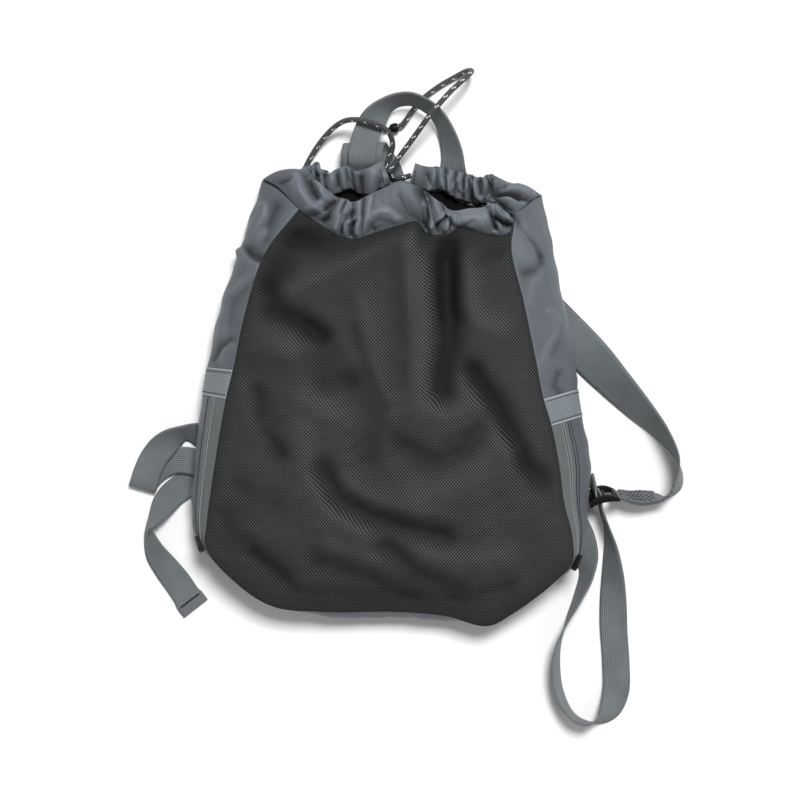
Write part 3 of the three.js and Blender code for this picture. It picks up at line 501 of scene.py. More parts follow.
# The steps of the right strap over which its end is folded back on itself.
STRAP_FOLD = slice(136, 170)
STRAP_FOLD_GAP = 0.1
# Columns between which each row of zigzag stitches on that fold runs.
STRAP_ZIGZAGS = ((1, 4), (4, 7), (7, 10))
ADJUSTER_HEM = np.array([[-207.5, -183, 3.3], [-199, -176.6, 3.5], [-190.5, -170.2, 3.3]])

# Drawcord routes. Columns: x, y, z.
CORD_LEFT_ROUTE = [
    [-16.8, 215, 15.6], [-13.6, 219, 16.9], [-8, 227, 19.4], [-1, 236, 22], [6, 245, 26], [13, 254, 31],
    [20, 263, 36], [26, 270, 38], [32, 277, 37.4], [39, 285, 35], [46, 292, 31.6], [52, 298, 28],
    [56.6, 303, 23.4], [58.8, 306.6, 16.8], [57.6, 308.6, 10.2], [53.4, 308.4, 5.6], [47, 305.4, 3.4],
    [40, 301.6, 2.8], [33, 297.6, 2.8], [26, 293, 2.8], [18, 287, 2.8], [10, 279, 3.2], [4, 271.4, 3.8],
    [-1, 264, 4.4], [-4.4, 259.8, 4.7], [-7.3, 258.1, 4.8],
]
CORD_RIGHT_ROUTE = [
    [3.2, 212.2, 13], [-2, 211, 10.8], [-8.4, 210.8, 8.8], [-13.6, 213, 7.2], [-17, 217.6, 6.4],
    [-17.8, 223, 6.6], [-16, 229.4, 8.4], [-13.6, 236, 12], [-13.2, 242, 16.4], [-15.6, 248.6, 21],
    [-21, 253.6, 24.8], [-30, 257.4, 27], [-38, 259.6, 27.4], [-46, 261, 26.4], [-55, 261, 22.6],
    [-63, 258, 17.6], [-71, 252, 12.8], [-79, 243.4, 8.8], [-86, 233.6, 5.8], [-91, 225, 4],
    [-95, 216, 3.2], [-97, 208, 3.2],
]


def row_curve(points):
    """Smooth curve through table rows, called with row numbers that may lie between rows."""
    points = np.array(points, float)
    knots = np.vstack([2 * points[0] - points[1], points, 2 * points[-1] - points[-2]])
    last = len(points) - 1

    def at(rows):
        rows = np.clip(np.asarray(rows, float), 0, last)
        index = np.minimum(rows.astype(int), last - 1)
        t = (rows - index)[..., None]
        p0, p1, p2, p3 = (knots[index + k] for k in range(4))
        d0, d1, d2 = (
            np.sqrt(np.maximum(np.linalg.norm(b - a, axis=-1, keepdims=True), 1e-6))
            for a, b in ((p0, p1), (p1, p2), (p2, p3))
        )
        m1 = ((p1 - p0) / d0 - (p2 - p0) / (d0 + d1) + (p2 - p1) / d1) * d1
        m2 = ((p2 - p1) / d1 - (p3 - p1) / (d1 + d2) + (p3 - p2) / d2) * d1
        return (((2 * (p1 - p2) + m1 + m2) * t + 3 * (p2 - p1) - 2 * m1 - m2) * t + m1) * t + p1

    return at


def span(curve, first, last):
    """A stretch of a row curve, called with shares from 0 to 1."""
    return lambda t: curve(first + (last - first) * t)


widest_rows = np.column_stack([GUSSET_ROWS[:, 3:5], GUSSET_ROWS[:, 2] * WIDEST_SHARE + WIDEST_LIFT])
back_rows = np.column_stack([GUSSET_ROWS[:, 5:7], np.full(len(GUSSET_ROWS), BACK_HEIGHT)])
front_seam = row_curve(GUSSET_ROWS[:, :3])
widest_line = row_curve(widest_rows)
back_seam = row_curve(back_rows)
casing_seam = row_curve(CASING_ROWS[:, :3])
mouth_edge = row_curve(CASING_ROWS[:, 3:])


def gusset(rows, shares):
    """Gusset surface: share 0 at the front seam, 1 at the back seam."""
    s = np.asarray(shares, float)[..., None]
    near = front_seam(rows) * (1 - s) * (1 - 2 * s)
    return near + widest_line(rows) * 4 * s * (1 - s) + back_seam(rows) * s * (2 * s - 1)


def coons(left, right, top, bottom, u, v):
    """Patch between four edges: left and right run from top to bottom, top and bottom rightwards."""
    u3, v3 = u[..., None], v[..., None]
    none, whole = np.zeros(1), np.ones(1)
    sides = left(v) * (1 - u3) + right(v) * u3 + top(u) * (1 - v3) + bottom(u) * v3
    upper = left(none) * (1 - u3) * (1 - v3) + right(none) * u3 * (1 - v3)
    return sides - upper - left(whole) * (1 - u3) * v3 - right(whole) * u3 * v3


def fold_height(folds, places, valley=2.0):
    """Height that folds add at places: round ridges, and valleys that are creases where valley is low."""
    x, y = places[..., 0], places[..., 1]
    total = np.zeros(x.shape)
    for height, left, right, *path in folds:
        nearest = np.full(x.shape, np.inf)
        side = np.zeros(x.shape)
        for (x0, y0), (x1, y1) in zip(path, path[1:]):
            dx, dy = x1 - x0, y1 - y0
            along = np.clip(((x - x0) * dx + (y - y0) * dy) / (dx * dx + dy * dy), 0, 1)
            off_x, off_y = x - x0 - along * dx, y - y0 - along * dy
            distance = np.hypot(off_x, off_y)
            turn = (dx * off_y - dy * off_x) / (math.hypot(dx, dy) * np.maximum(distance, 1e-6))
            closer = distance < nearest
            side = np.where(closer, turn, side)
            nearest = np.where(closer, distance, nearest)
        width = right + (left - right) * (side + 1) / 2
        total += height * np.exp(-((nearest / width) ** (valley if height < 0 else 2)))
    return total


RIPPLE_WAVES = 9


def ripple(places, seed, wavelength, turn=0.0, stretch=1.0):
    """Soft irregular ripples about -1 to 1: a few seeded waves whose crests mostly run one way."""
    rng = np.random.default_rng(seed)
    total = np.zeros(places.shape[:-1])
    for _ in range(RIPPLE_WAVES):
        angle = turn + rng.normal(0, 0.5)
        pitch = wavelength * rng.uniform(0.7, 1.6)
        along = places[..., 0] * math.cos(angle) + places[..., 1] * math.sin(angle)
        across = places[..., 1] * math.cos(angle) - places[..., 0] * math.sin(angle)
        drift = 0.8 * np.sin(2 * math.pi * across / (pitch * 2.6 * stretch) + rng.uniform(0, 6.3))
        total += np.sin(2 * math.pi * along / pitch + drift + rng.uniform(0, 6.3))
    return total / 3


def unit(vectors):
    """Vectors at length 1."""
    return vectors / np.maximum(np.linalg.norm(vectors, axis=-1, keepdims=True), 1e-9)


def normals(places):
    """Unit normals of a grid of places."""
    return unit(np.cross(np.gradient(places, axis=1), np.gradient(places, axis=0)))


def line_on(places, share, lift, axis=0):
    """A line along a grid at a share of its rows, or of its columns where axis is 1, lifted off it."""
    raised = places + normals(places) * lift
    index = share * (raised.shape[axis] - 1)
    low = min(int(index), raised.shape[axis] - 2)
    first, second = np.take(raised, low, axis=axis), np.take(raised, low + 1, axis=axis)
    return first + (second - first) * (index - low)


def path_lengths(path):
    """Length along a path at each of its points."""
    return np.insert(np.cumsum(np.linalg.norm(np.diff(path, axis=0), axis=1)), 0, 0)


def resample(path, count):
    """A path's places at even steps along it."""
    length = path_lengths(path)
    at = np.linspace(0, length[-1], count)
    return np.column_stack([np.interp(at, length, path[:, axis]) for axis in range(3)])


def arc_map(places):
    """Cloth lengths in millimetres along both ways of a grid, from its middle."""
    def lengths(axis):
        steps = np.linalg.norm(np.diff(places, axis=axis), axis=-1)
        total = np.insert(np.cumsum(steps, axis=axis), 0, 0, axis=axis)
        return total - np.take(total, [total.shape[axis] // 2], axis=axis)
    return np.stack([lengths(1), lengths(0)], axis=-1)


def grid(columns, rows):
    """Shares across and along a grid with the given numbers of faces."""
    return np.meshgrid(np.linspace(0, 1, columns + 1), np.linspace(0, 1, rows + 1))


# Materials


def linear(colour):
    """Linear RGBA of an sRGB hex colour."""
    parts = [int(colour[i:i + 2], 16) / 255 for i in (1, 3, 5)]
    return [p / 12.92 if p <= 0.04045 else ((p + 0.055) / 1.055) ** 2.4 for p in parts] + [1]


def add(tree, kind, links=None, **settings):
    """Adds a node with its settings; an input takes a value, a socket or a node's first output."""
    node = tree.nodes.new("ShaderNode" + kind)
    for key, value in settings.items():
        setattr(node, key, value)
    for key, value in (links or {}).items():
        socket = node.inputs[key]
        if isinstance(key, str):
            socket = next(s for s in node.inputs if s.enabled and s.name == key)
        if isinstance(value, bpy.types.Node):
            value = next(s for s in value.outputs if s.enabled)
        if isinstance(value, bpy.types.NodeSocket):
            tree.links.new(value, socket)
        else:
            socket.default_value = value
    return node


def new_material(name):
    """A material with an empty node tree."""
    made = bpy.data.materials.new(name)
    made.use_nodes = True
    made.node_tree.nodes.clear()
    return made, made.node_tree


def cloth_place(tree, pitch_x, pitch_y, turn=0.0):
    """The piece's own UV map, in millimetres of cloth, turned and counted in pitches."""
    uv = add(tree, "UVMap", uv_map="cloth")
    scale = (1 / pitch_x, 1 / pitch_y, 1)
    place = add(tree, "Mapping", {"Vector": uv, "Rotation": (0, 0, math.radians(turn)), "Scale": scale})
    return add(tree, "SeparateXYZ", {0: place})


def ridges(tree, along):
    """Rounded ridges from 0 to 1, one to each unit along."""
    turned = add(tree, "Math", {0: along, 1: 2 * math.pi}, operation="MULTIPLY")
    wave = add(tree, "Math", {0: turned}, operation="SINE")
    return add(tree, "MapRange", {"Value": wave, "From Min": -1.0})


def speckle(tree, size, detail=3.0):
    """Soft irregular patches of about the given size in millimetres."""
    place = add(tree, "TexCoord").outputs["Object"]
    return add(tree, "TexNoise", {"Vector": place, "Scale": 1 / (size * MM), "Detail": detail})


def make_nylon():
    """Nylon taffeta, calendered: a close plain weave with a soft satin sheen and small creases."""
    made, tree = new_material("nylon_taffeta")
    # Painted shade: the cloth is painted darker down between its folds, by their depth, where its sides
    # shade each other, on top of soft random patches.
    fold = add(tree, "Attribute", attribute_name="fold")
    painted_fold_shade = add(tree, "MapRange", {"Value": fold.outputs["Fac"], "From Min": -3.2, "From Max": 2.4})
    patches = speckle(tree, 36)
    tone_mix = add(tree, "Math", {0: patches.outputs[0], 1: 0.25, 2: painted_fold_shade}, operation="MULTIPLY_ADD")
    colours = {"A": linear("#0c0e10"), "B": linear("#61686f")}
    tone = add(tree, "Mix", {"Factor": tone_mix, **colours}, data_type="RGBA")
    # Threads at 0.3 mm would not show, so they are drawn 0.9 mm apart.
    place = cloth_place(tree, 0.9, 0.9)
    warp, weft = ridges(tree, place.outputs[0]), ridges(tree, place.outputs[1])
    weave = add(tree, "Math", {0: warp, 1: weft}, operation="MULTIPLY")
    creases = speckle(tree, 9, 4.0)
    height = add(tree, "Math", {0: weave, 1: 0.1, 2: creases.outputs[0]}, operation="MULTIPLY_ADD")
    relief = add(tree, "Bump", {"Height": height, "Distance": 0.7 * MM, "Strength": 0.3})
    shader = add(tree, "BsdfPrincipled", {
        "Base Color": tone, "Roughness": 0.55, "IOR": 1.53, "Specular IOR Level": 0.34,
        "Sheen Weight": 0.1, "Normal": relief,
    })
    add(tree, "OutputMaterial", {"Surface": shader})
    return made


def make_net():
    """Knitted polyester net: dull threads round staggered diamond holes over a dark backing."""
    made, tree = new_material("polyester_net")
    # Holes 2.3 mm apart would blur together, so they are drawn 2.8 mm apart.
    place = cloth_place(tree, 1.98, 2.25, 45)
    sides = []
    for axis in (0, 1):
        part = add(tree, "Math", {0: place.outputs[axis]}, operation="FRACT")
        middle = add(tree, "Math", {0: part, 1: 0.5}, operation="SUBTRACT")
        sides.append(add(tree, "Math", {0: middle}, operation="ABSOLUTE"))
    reach = add(tree, "Math", {0: sides[0], 1: sides[1]}, operation="MAXIMUM")
    thread = add(tree, "MapRange", {
        "Value": reach, "From Min": 0.27, "From Max": 0.38,
    }, interpolation_type="SMOOTHSTEP")
    # Painted shade and painted light: the net is painted darker down in the valleys of its folds and paler
    # on their ridges, by the fold depth, on top of soft random patches.
    fold = add(tree, "Attribute", attribute_name="fold")
    stretch = add(tree, "MapRange", {"Value": fold.outputs["Fac"], "From Min": -10.0, "From Max": 5.0})
    patches = speckle(tree, 55)
    tone_mix = add(tree, "Math", {0: patches.outputs[0], 1: 0.2, 2: stretch}, operation="MULTIPLY_ADD")
    colours = {"A": linear("#151616"), "B": linear("#4d4f4f")}
    lit = add(tree, "Mix", {"Factor": tone_mix, **colours}, data_type="RGBA")
    tone = add(tree, "Mix", {"Factor": thread, "A": linear("#0a0a0a"), "B": lit}, data_type="RGBA")
    relief = add(tree, "Bump", {"Height": thread, "Distance": 0.6 * MM, "Strength": 0.6})
    shader = add(tree, "BsdfPrincipled", {
        "Base Color": tone, "Roughness": 0.75, "IOR": 1.5, "Specular IOR Level": 0.15, "Normal": relief,
    })
    add(tree, "OutputMaterial", {"Surface": shader})
    return made


def make_webbing(name, colour, dark, rib, yarn):
    """Woven polyester band: dull yarn in close ribs along it, crossed by finer yarns."""
    made, tree = new_material(name)
    place = cloth_place(tree, rib, yarn)
    ribs = ridges(tree, place.outputs[0])
    yarns = ridges(tree, place.outputs[1])
    height = add(tree, "Math", {0: yarns, 1: 0.6, 2: ribs.outputs[0]}, operation="MULTIPLY_ADD")
    tone_mix = add(tree, "Math", {0: height, 1: speckle(tree, 25)}, operation="ADD")
    share = add(tree, "Math", {0: tone_mix, 1: 0.4}, operation="MULTIPLY")
    tone = add(tree, "Mix", {"Factor": share, "A": linear(dark), "B": linear(colour)}, data_type="RGBA")
    relief = add(tree, "Bump", {"Height": height, "Distance": 0.4 * MM, "Strength": 0.7})
    shader = add(tree, "BsdfPrincipled", {
        "Base Color": tone, "Roughness": 0.7, "IOR": 1.5, "Sheen Weight": 0.12, "Normal": relief,
    })
    add(tree, "OutputMaterial", {"Surface": shader})
    return made


def make_braid():
    """Braided polyester cord: fine diagonal yarns with pairs of white flecks along it."""
    made, tree = new_material("braided_polyester_cord")
    fine = cloth_place(tree, 1.3, 1.3, 35)
    first, second = ridges(tree, fine.outputs[0]), ridges(tree, fine.outputs[1])
    yarn = add(tree, "Math", {0: first, 1: second}, operation="MULTIPLY")
    # A pair of flecks every 11.5 mm along the cord, twice round its girth.
    place = cloth_place(tree, math.pi * CORD_DIAMETER / 2, 11.5)
    pair = []
    for shifts in ((-0.08, -0.08), (0.08, 0.1)):
        inside = []
        for axis, reach in ((0, 0.065), (1, 0.075)):
            moved = add(tree, "Math", {0: place.outputs[axis], 1: shifts[axis]}, operation="ADD")
            part = add(tree, "Math", {0: moved}, operation="FRACT")
            inside.append(add(tree, "Math", {0: part, 1: 0.5, 2: reach}, operation="COMPARE"))
        pair.append(add(tree, "Math", {0: inside[0], 1: inside[1]}, operation="MULTIPLY"))
    fleck = add(tree, "Math", {0: pair[0], 1: pair[1]}, operation="MAXIMUM")
    colours = {"A": linear("#33353a"), "B": linear("#565a5f")}
    ground = add(tree, "Mix", {"Factor": yarn, **colours}, data_type="RGBA")
    tone = add(tree, "Mix", {"Factor": fleck, "A": ground, "B": linear("#f2f2f0")}, data_type="RGBA")
    relief = add(tree, "Bump", {"Height": yarn, "Distance": 0.5 * MM, "Strength": 0.8})
    shader = add(tree, "BsdfPrincipled", {
        "Base Color": tone, "Roughness": 0.75, "IOR": 1.5, "Sheen Weight": 0.1, "Normal": relief,
    })
    add(tree, "OutputMaterial", {"Surface": shader})
    return made


def make_plain(name, colour, roughness, ior, grain, depth, gloss=0.5):
    """A surface of one colour with a fine moulded, coated or spun grain, sizes in millimetres."""
    made, tree = new_material(name)
    height = speckle(tree, grain, 2.0)
    relief = add(tree, "Bump", {"Height": height, "Distance": depth * MM, "Strength": 0.4})
    shader = add(tree, "BsdfPrincipled", {
        "Base Color": linear(colour), "Roughness": roughness, "IOR": ior, "Specular IOR Level": gloss,
        "Normal": relief,
    })
    add(tree, "OutputMaterial", {"Surface": shader})
    return made


nylon = make_nylon()
# Painted shade: the inside of the bag is a dull black that stands in for the deep shade in there.
nylon_inside_shade = make_plain("black_inside_shade_nylon", "#030304", 0.85, 1.5, 0.8, 0.1, 0.15)
net = make_net()
webbing = make_webbing("polyester_webbing", "#838a8d", "#2f3436", 1.9, 1.0)
elastic = make_webbing("woven_elastic", "#828b90", "#565e62", 2.2, 1.1)
zip_tape = make_webbing("zip_tape", "#636869", "#535859", 1.2, 1.2)
braid = make_braid()
acetal = make_plain("moulded_acetal", "#0a0b0c", 0.5, 1.48, 0.5, 0.05, 0.2)
coil = make_plain("nylon_coil", "#7c8183", 0.45, 1.53, 0.4, 0.05)
dark_thread = make_plain("dark_thread", "#18191b", 0.8, 1.5, 0.5, 0.1)
pale_thread = make_plain("pale_thread", "#a9b0b4", 0.7, 1.5, 0.5, 0.1)


# Builders


def finish_piece(obj, slot, *nodes):
    """Lets a piece ride on the bag, in place of the nodes that it stands for. Its slot is not used."""
    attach(obj, "root")
    if nodes:
        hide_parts(*nodes)
    return obj


def new_object(name, mesh, *materials):
    """A smooth object with its materials, at the origin."""
    obj = bpy.data.objects.new(name, mesh)
    bpy.context.scene.collection.objects.link(obj)
    for one in materials:
        mesh.materials.append(one)
    mesh.shade_smooth()
    return obj


def sheet_mesh(name, places, lengths=None, folds=None):
    """A grid mesh at the given places, with cloth lengths as UVs and fold heights as an attribute that
    drives painted shade in the folds.
    """
    rows, columns = places.shape[0] - 1, places.shape[1] - 1
    work = bmesh.new()
    bmesh.ops.create_grid(work, x_segments=columns, y_segments=rows, size=0.5)
    mesh = bpy.data.meshes.new(name)
    work.to_mesh(mesh)
    work.free()
    flat = np.empty(len(mesh.vertices) * 3)
    mesh.vertices.foreach_get("co", flat)
    column = np.rint((flat[0::3] + 0.5) * columns).astype(int)
    row = np.rint((flat[1::3] + 0.5) * rows).astype(int)
    mesh.vertices.foreach_set("co", (places[row, column] * MM).ravel())
    corners = np.empty(len(mesh.loops), np.int32)
    mesh.loops.foreach_get("vertex_index", corners)
    uv = (arc_map(places) if lengths is None else lengths)[row, column][corners]
    mesh.uv_layers.new(name="cloth").data.foreach_set("uv", uv.ravel())
    if folds is not None:
        mesh.attributes.new("fold", "FLOAT", "POINT").data.foreach_set("value", folds[row, column])
    mesh.update()
    return mesh, row


def cloth(name, places, thickness, *materials, lengths=None, folds=None, weights=None):
    """A cloth wall centred on a grid of places. A second material lies on the inner side."""
    mesh, row = sheet_mesh(name, places, lengths, folds)
    obj = new_object(name, mesh, *materials)
    wall = obj.modifiers.new("wall", "SOLIDIFY")
    wall.thickness = thickness * MM
    wall.offset = 0
    wall.material_offset = len(materials) - 1
    if weights is not None:
        group = obj.vertex_groups.new(name="thickness")
        for value in np.unique(np.round(weights, 3)):
            index = np.flatnonzero(np.round(weights[row], 3) == value).tolist()
            group.add(index, float(value), "REPLACE")
        wall.vertex_group = "thickness"
    return obj


def tube(name, path, radius, finish, sides=8):
    """A closed round tube along a path, with its girth and length in millimetres as UVs."""
    path = np.asarray(path, float)
    tangent = unit(np.gradient(path, axis=0))
    side = np.cross(tangent[0], (0, 0, 1) if abs(tangent[0][2]) < 0.9 else (1, 0, 0))
    frames = []
    for direction in tangent:
        side = unit(side - direction * np.dot(side, direction))
        frames.append((side, np.cross(direction, side)))
    angle = np.linspace(0, 2 * math.pi, sides + 1)
    first = np.array([f[0] for f in frames])[:, None]
    second = np.array([f[1] for f in frames])[:, None]
    ring = first * np.cos(angle)[None, :, None] + second * np.sin(angle)[None, :, None]
    places = path[:, None] + np.asarray(radius, float).reshape(-1, 1, 1) * ring
    girth = np.broadcast_to(angle[None] * np.max(radius), (len(path), sides + 1))
    length = np.broadcast_to(path_lengths(path)[:, None], girth.shape)
    mesh, _ = sheet_mesh(name, places, np.stack([girth, length], axis=-1))
    work = bmesh.new()
    work.from_mesh(mesh)
    bmesh.ops.remove_doubles(work, verts=work.verts, dist=1e-6)
    rims = [e for e in work.edges if e.is_boundary]
    bmesh.ops.holes_fill(work, edges=rims, sides=0)
    bmesh.ops.recalc_face_normals(work, faces=work.faces)
    work.to_mesh(mesh)
    work.free()
    return new_object(name, mesh, finish)


def sharp_edges(work, angle):
    """Edges whose two faces turn by more than an angle in radians."""
    return [e for e in work.edges if len(e.link_faces) == 2 and e.calc_face_angle() > angle]


def stitches(name, paths, slot, stitch):
    """Dashes of dark thread along paths: six-sided pins in one mesh."""
    pitch, length, radius = stitch
    work = bmesh.new()
    for path in paths:
        along = path_lengths(path)
        for start in np.arange(pitch / 2, along[-1] - length, pitch):
            first, last = (
                Vector([np.interp(at, along, path[:, axis]) for axis in range(3)])
                for at in (start, start + length)
            )
            run = last - first
            turn = run.to_track_quat("Z", "Y").to_matrix().to_4x4()
            bmesh.ops.create_cone(
                work, cap_ends=True, segments=6, radius1=radius * MM, radius2=radius * MM,
                depth=run.length * MM, matrix=Matrix.Translation((first + last) / 2 * MM) @ turn,
            )
    mesh = bpy.data.meshes.new(name)
    work.to_mesh(mesh)
    work.free()
    finish_piece(new_object(name, mesh, dark_thread), slot)


def ribbon_places(rows, own_width, steps):
    """Grid of places along webbing stations, and the thickness at each step."""
    table = np.array([row if len(row) > 5 else row + [own_width, WEB] for row in rows], float)
    heading, tilt = np.radians(table[:, 3]), np.radians(table[:, 4])
    level = np.cos(tilt)
    across = row_curve(np.column_stack([np.cos(heading) * level, np.sin(heading) * level, np.sin(tilt)]))
    at = np.linspace(0, len(rows) - 1, steps + 1)
    centre = row_curve(table[:, :3])(at)
    left = unit(across(at))
    width = np.interp(at, np.arange(len(rows)), table[:, 5])
    thickness = np.interp(at, np.arange(len(rows)), table[:, 6])
    # Rows of the grid run along the strap and columns across it, turned so that the upper side faces out.
    shares = np.linspace(0.5, -0.5, STRAP_COLUMNS + 1)
    places = centre[:, None] + left[:, None] * (shares[None, :, None] * width[:, None, None])
    return places, thickness


def strap(name, node, rows, width, steps):
    """A length of webbing through its stations."""
    places, thickness = ribbon_places(rows, width, steps)
    obj = cloth(name, places, thickness.max(), webbing, weights=thickness / thickness.max())
    finish_piece(obj, "webbing", node)


# Camera


camera = bpy.data.cameras.new("camera")
camera.sensor_width = SENSOR
camera.lens = SENSOR * CAMERA_HEIGHT / PHOTO_SIDE
camera_object = bpy.data.objects.new("camera", camera)
camera_object.location = (CAMERA_PLACE[0] * MM, CAMERA_PLACE[1] * MM, CAMERA_HEIGHT * MM)
bpy.context.scene.collection.objects.link(camera_object)
bpy.context.scene.camera = camera_object

# Drawcord and its stop

stop_work = bmesh.new()
stop_verts = [stop_work.verts.new((radius * MM, along * MM, 0)) for radius, along in CORD_STOP_PROFILE]
for a, b in zip(stop_verts, stop_verts[1:]):
    stop_work.edges.new((a, b))
bmesh.ops.spin(
    stop_work, geom=stop_work.verts[:] + stop_work.edges[:], cent=(0, 0, 0), axis=(0, 1, 0),
    angle=2 * math.pi, steps=32, use_merge=True,
)
bmesh.ops.remove_doubles(stop_work, verts=stop_work.verts, dist=1e-6)
bmesh.ops.recalc_face_normals(stop_work, faces=stop_work.faces)
stop_edges = sharp_edges(stop_work, CORD_STOP_SHARP)
bmesh.ops.bevel(
    stop_work, geom=stop_edges, offset=CORD_STOP_BEVEL * MM, segments=2, profile=0.5, affect="EDGES",
    material=-1,
)
stop_turn = Matrix.Rotation(math.radians(CORD_STOP_TURN), 4, "Z")
stop_place = Matrix.Translation(Vector(CORD_STOP_PLACE) * MM) @ stop_turn
bmesh.ops.transform(stop_work, matrix=stop_place, verts=stop_work.verts)
stop_mesh = bpy.data.meshes.new("cord_stop_bell")
stop_work.to_mesh(stop_mesh)
stop_work.free()
cord_stop = finish_piece(new_object("cord_stop_bell", stop_mesh, acetal), "black_plastic", "cord_stop")


def drawcord(name, route, node):
    """A free strand of the braided cord along its route."""
    path = row_curve(route)(np.linspace(0, len(route) - 1, CORD_POINTS))
    obj = tube(name, path, CORD_DIAMETER / 2, braid, 14)
    finish_piece(obj, "cord", node)


drawcord("drawcord_left_strand", CORD_LEFT_ROUTE, "drawcord_left")
drawcord("drawcord_right_strand", CORD_RIGHT_ROUTE, "drawcord_right")

# Panels


def net_places(columns, rows):
    """Places of the slack net, its cloth lengths drawn aside by its folds, and its folds' heights for
    painted shade, deepened at its edges and top.
    """
    u, v = grid(columns, rows)
    u = SEAM_INSET / NET_WIDTH + u * (1 - 2 * SEAM_INSET / NET_WIDTH)
    v = SEAM_INSET / NET_HEIGHT + (1 - v) * (1 - 2 * SEAM_INSET / NET_HEIGHT)
    places = coons(
        span(front_seam, LEFT_SHOULDER, LEFT_CORNER),
        span(front_seam, RIGHT_SHOULDER, RIGHT_CORNER),
        span(casing_seam, FRONT_LEFT_STATION, FRONT_RIGHT_STATION),
        span(front_seam, LEFT_CORNER, RIGHT_CORNER), u, v,
    )
    across = 4 * u * (1 - u)
    slack = 1 - np.maximum(across * np.sin(math.pi * v ** 1.3), 0)
    # The folds die out close to the seams.
    calm = np.minimum(1, 6 * across) * np.minimum(1, 12 * v) * np.minimum(1, 12 * (1 - v))
    small = sum(height * ripple(places, *waves) for height, *waves in NET_RIPPLES)
    folds = fold_height(NET_FOLDS + NET_CREASES, places)
    places[..., 2] += NET_CROWN * (1 - slack ** 2)
    folds = calm * (NET_SLACK * folds + small)
    lengths = places[..., :2] + NET_DRIFT * folds[..., None]
    places[..., 2] += folds
    # Painted shade: for its tone, the edges sewn in under the seams and the top under the casing count as
    # valleys, so they are painted darker.
    return places, lengths, folds - EDGE_SHADE * (1 - calm + (1 - v) ** 3)


net_front, net_lengths, net_shade_folds = net_places(190, 210)
net_cloth = cloth("net_front", net_front, NET_WALL, net, lengths=net_lengths, folds=net_shade_folds)
finish_piece(net_cloth, "net", "front_mesh_panel")


def back_places(columns, rows):
    """Places of the back, which sags flat in its middle."""
    u, v = grid(columns, rows)
    v = 1 - v
    heights = np.full(len(BACK_TOP_STATIONS), BACK_TOP_HEIGHT)
    top_rows = np.column_stack([CASING_ROWS[BACK_TOP_STATIONS, :2], heights])
    left_end, right_end = back_seam(np.array([[LEFT_SHOULDER], [RIGHT_SHOULDER]]))
    top_rows = np.vstack([left_end, top_rows, right_end])
    places = coons(
        span(back_seam, LEFT_SHOULDER, LEFT_CORNER), span(back_seam, RIGHT_SHOULDER, RIGHT_CORNER),
        span(row_curve(top_rows), 0, len(top_rows) - 1), span(back_seam, LEFT_CORNER, RIGHT_CORNER), u, v,
    )
    off = (places[..., :2] - BACK_LOW_MIDDLE) / BACK_LOW_REACH
    low = np.exp(-(off[..., 0] ** 4) - off[..., 1] ** 4)
    share = np.minimum(1, BACK_LOW_GAIN * low)
    places[..., 2] = places[..., 2] * (1 - share) + BACK_LOW * share
    return places


# The back's outer side is its lower one, so the inner side, black with painted shade, comes first on this
# grid.
back_cloth = cloth("back_cloth", back_places(90, 100), BACK_WALL, nylon_inside_shade, nylon)
finish_piece(back_cloth, "nylon", "back_panel")


def gusset_places(first_row, last_row, first_share, last_share, columns, rows, folds=(), small=0, seed=1):
    """Places of a stretch of the gusset, with its folds and small ripples."""
    u, v = grid(columns, rows)
    row = last_row + (first_row - last_row) * u
    places = gusset(row, first_share + (last_share - first_share) * v)
    # The folds die out close to the seams.
    calm = np.minimum(1, 5 * np.minimum(v, 1 - v) + 0.15) * np.minimum(1, 8 * np.minimum(u, 1 - u) + 0.1)
    lift = small * ripple(places, seed, *SIDE_RIPPLE)
    if folds:
        lift = lift + fold_height(folds, places, SIDE_CREASE)
    return places + normals(places) * (calm * lift)[..., None]


def tucked(places, stations, at_start):
    """A side panel whose shoulder edge runs on a little way inside the casing."""
    edge = places[:, 0] if at_start else places[:, -1]
    station = np.interp(np.linspace(0, 1, len(edge)), TUCK_SHARES, stations)
    onward = unit(mouth_edge(station) - casing_seam(station))
    inward = unit(np.array(BAG_MIDDLE) - edge)
    flap = np.stack([edge + onward * d + inward * min(TUCK_DEPTH, d / 2) for d in TUCK_STEPS], axis=1)
    return np.concatenate([flap[:, ::-1], places] if at_start else [places, flap], axis=1)


NEAR = SEAM_INSET / GUSSET_GIRTH
FAR = 1 - NEAR
side_left = gusset_places(
    LEFT_SHOULDER, LEFT_ELASTIC_TOP, NEAR, FAR, 130, 60, folds=SIDE_FOLDS, small=0.5, seed=4,
)
side_right = gusset_places(
    RIGHT_ELASTIC_TOP, RIGHT_SHOULDER, NEAR, FAR, 130, 60, folds=SIDE_FOLDS, small=0.5, seed=6,
)
elastic_left = gusset_places(LEFT_ELASTIC_TOP, LEFT_ELASTIC_END, NEAR, FAR, 24, 44)
elastic_right = gusset_places(RIGHT_ELASTIC_END, RIGHT_ELASTIC_TOP, NEAR, FAR, 24, 44)
zip_left = gusset_places(LEFT_ELASTIC_END, LEFT_CORNER, NEAR, ZIP_SHARE_LEFT, 80, 20)
zip_right = gusset_places(RIGHT_CORNER, RIGHT_ELASTIC_END, NEAR, ZIP_SHARE_RIGHT, 80, 20)
pocket_left = gusset_places(
    LEFT_ELASTIC_END, LEFT_CORNER, ZIP_SHARE_LEFT, FAR, 90, 40, small=0.6, seed=11,
)
pocket_right = gusset_places(
    RIGHT_CORNER, RIGHT_ELASTIC_END, ZIP_SHARE_RIGHT, FAR, 90, 40, small=0.6, seed=12,
)
bottom = gusset_places(LEFT_CORNER, RIGHT_CORNER, NEAR, FAR, 220, 40, small=0.8, seed=15)

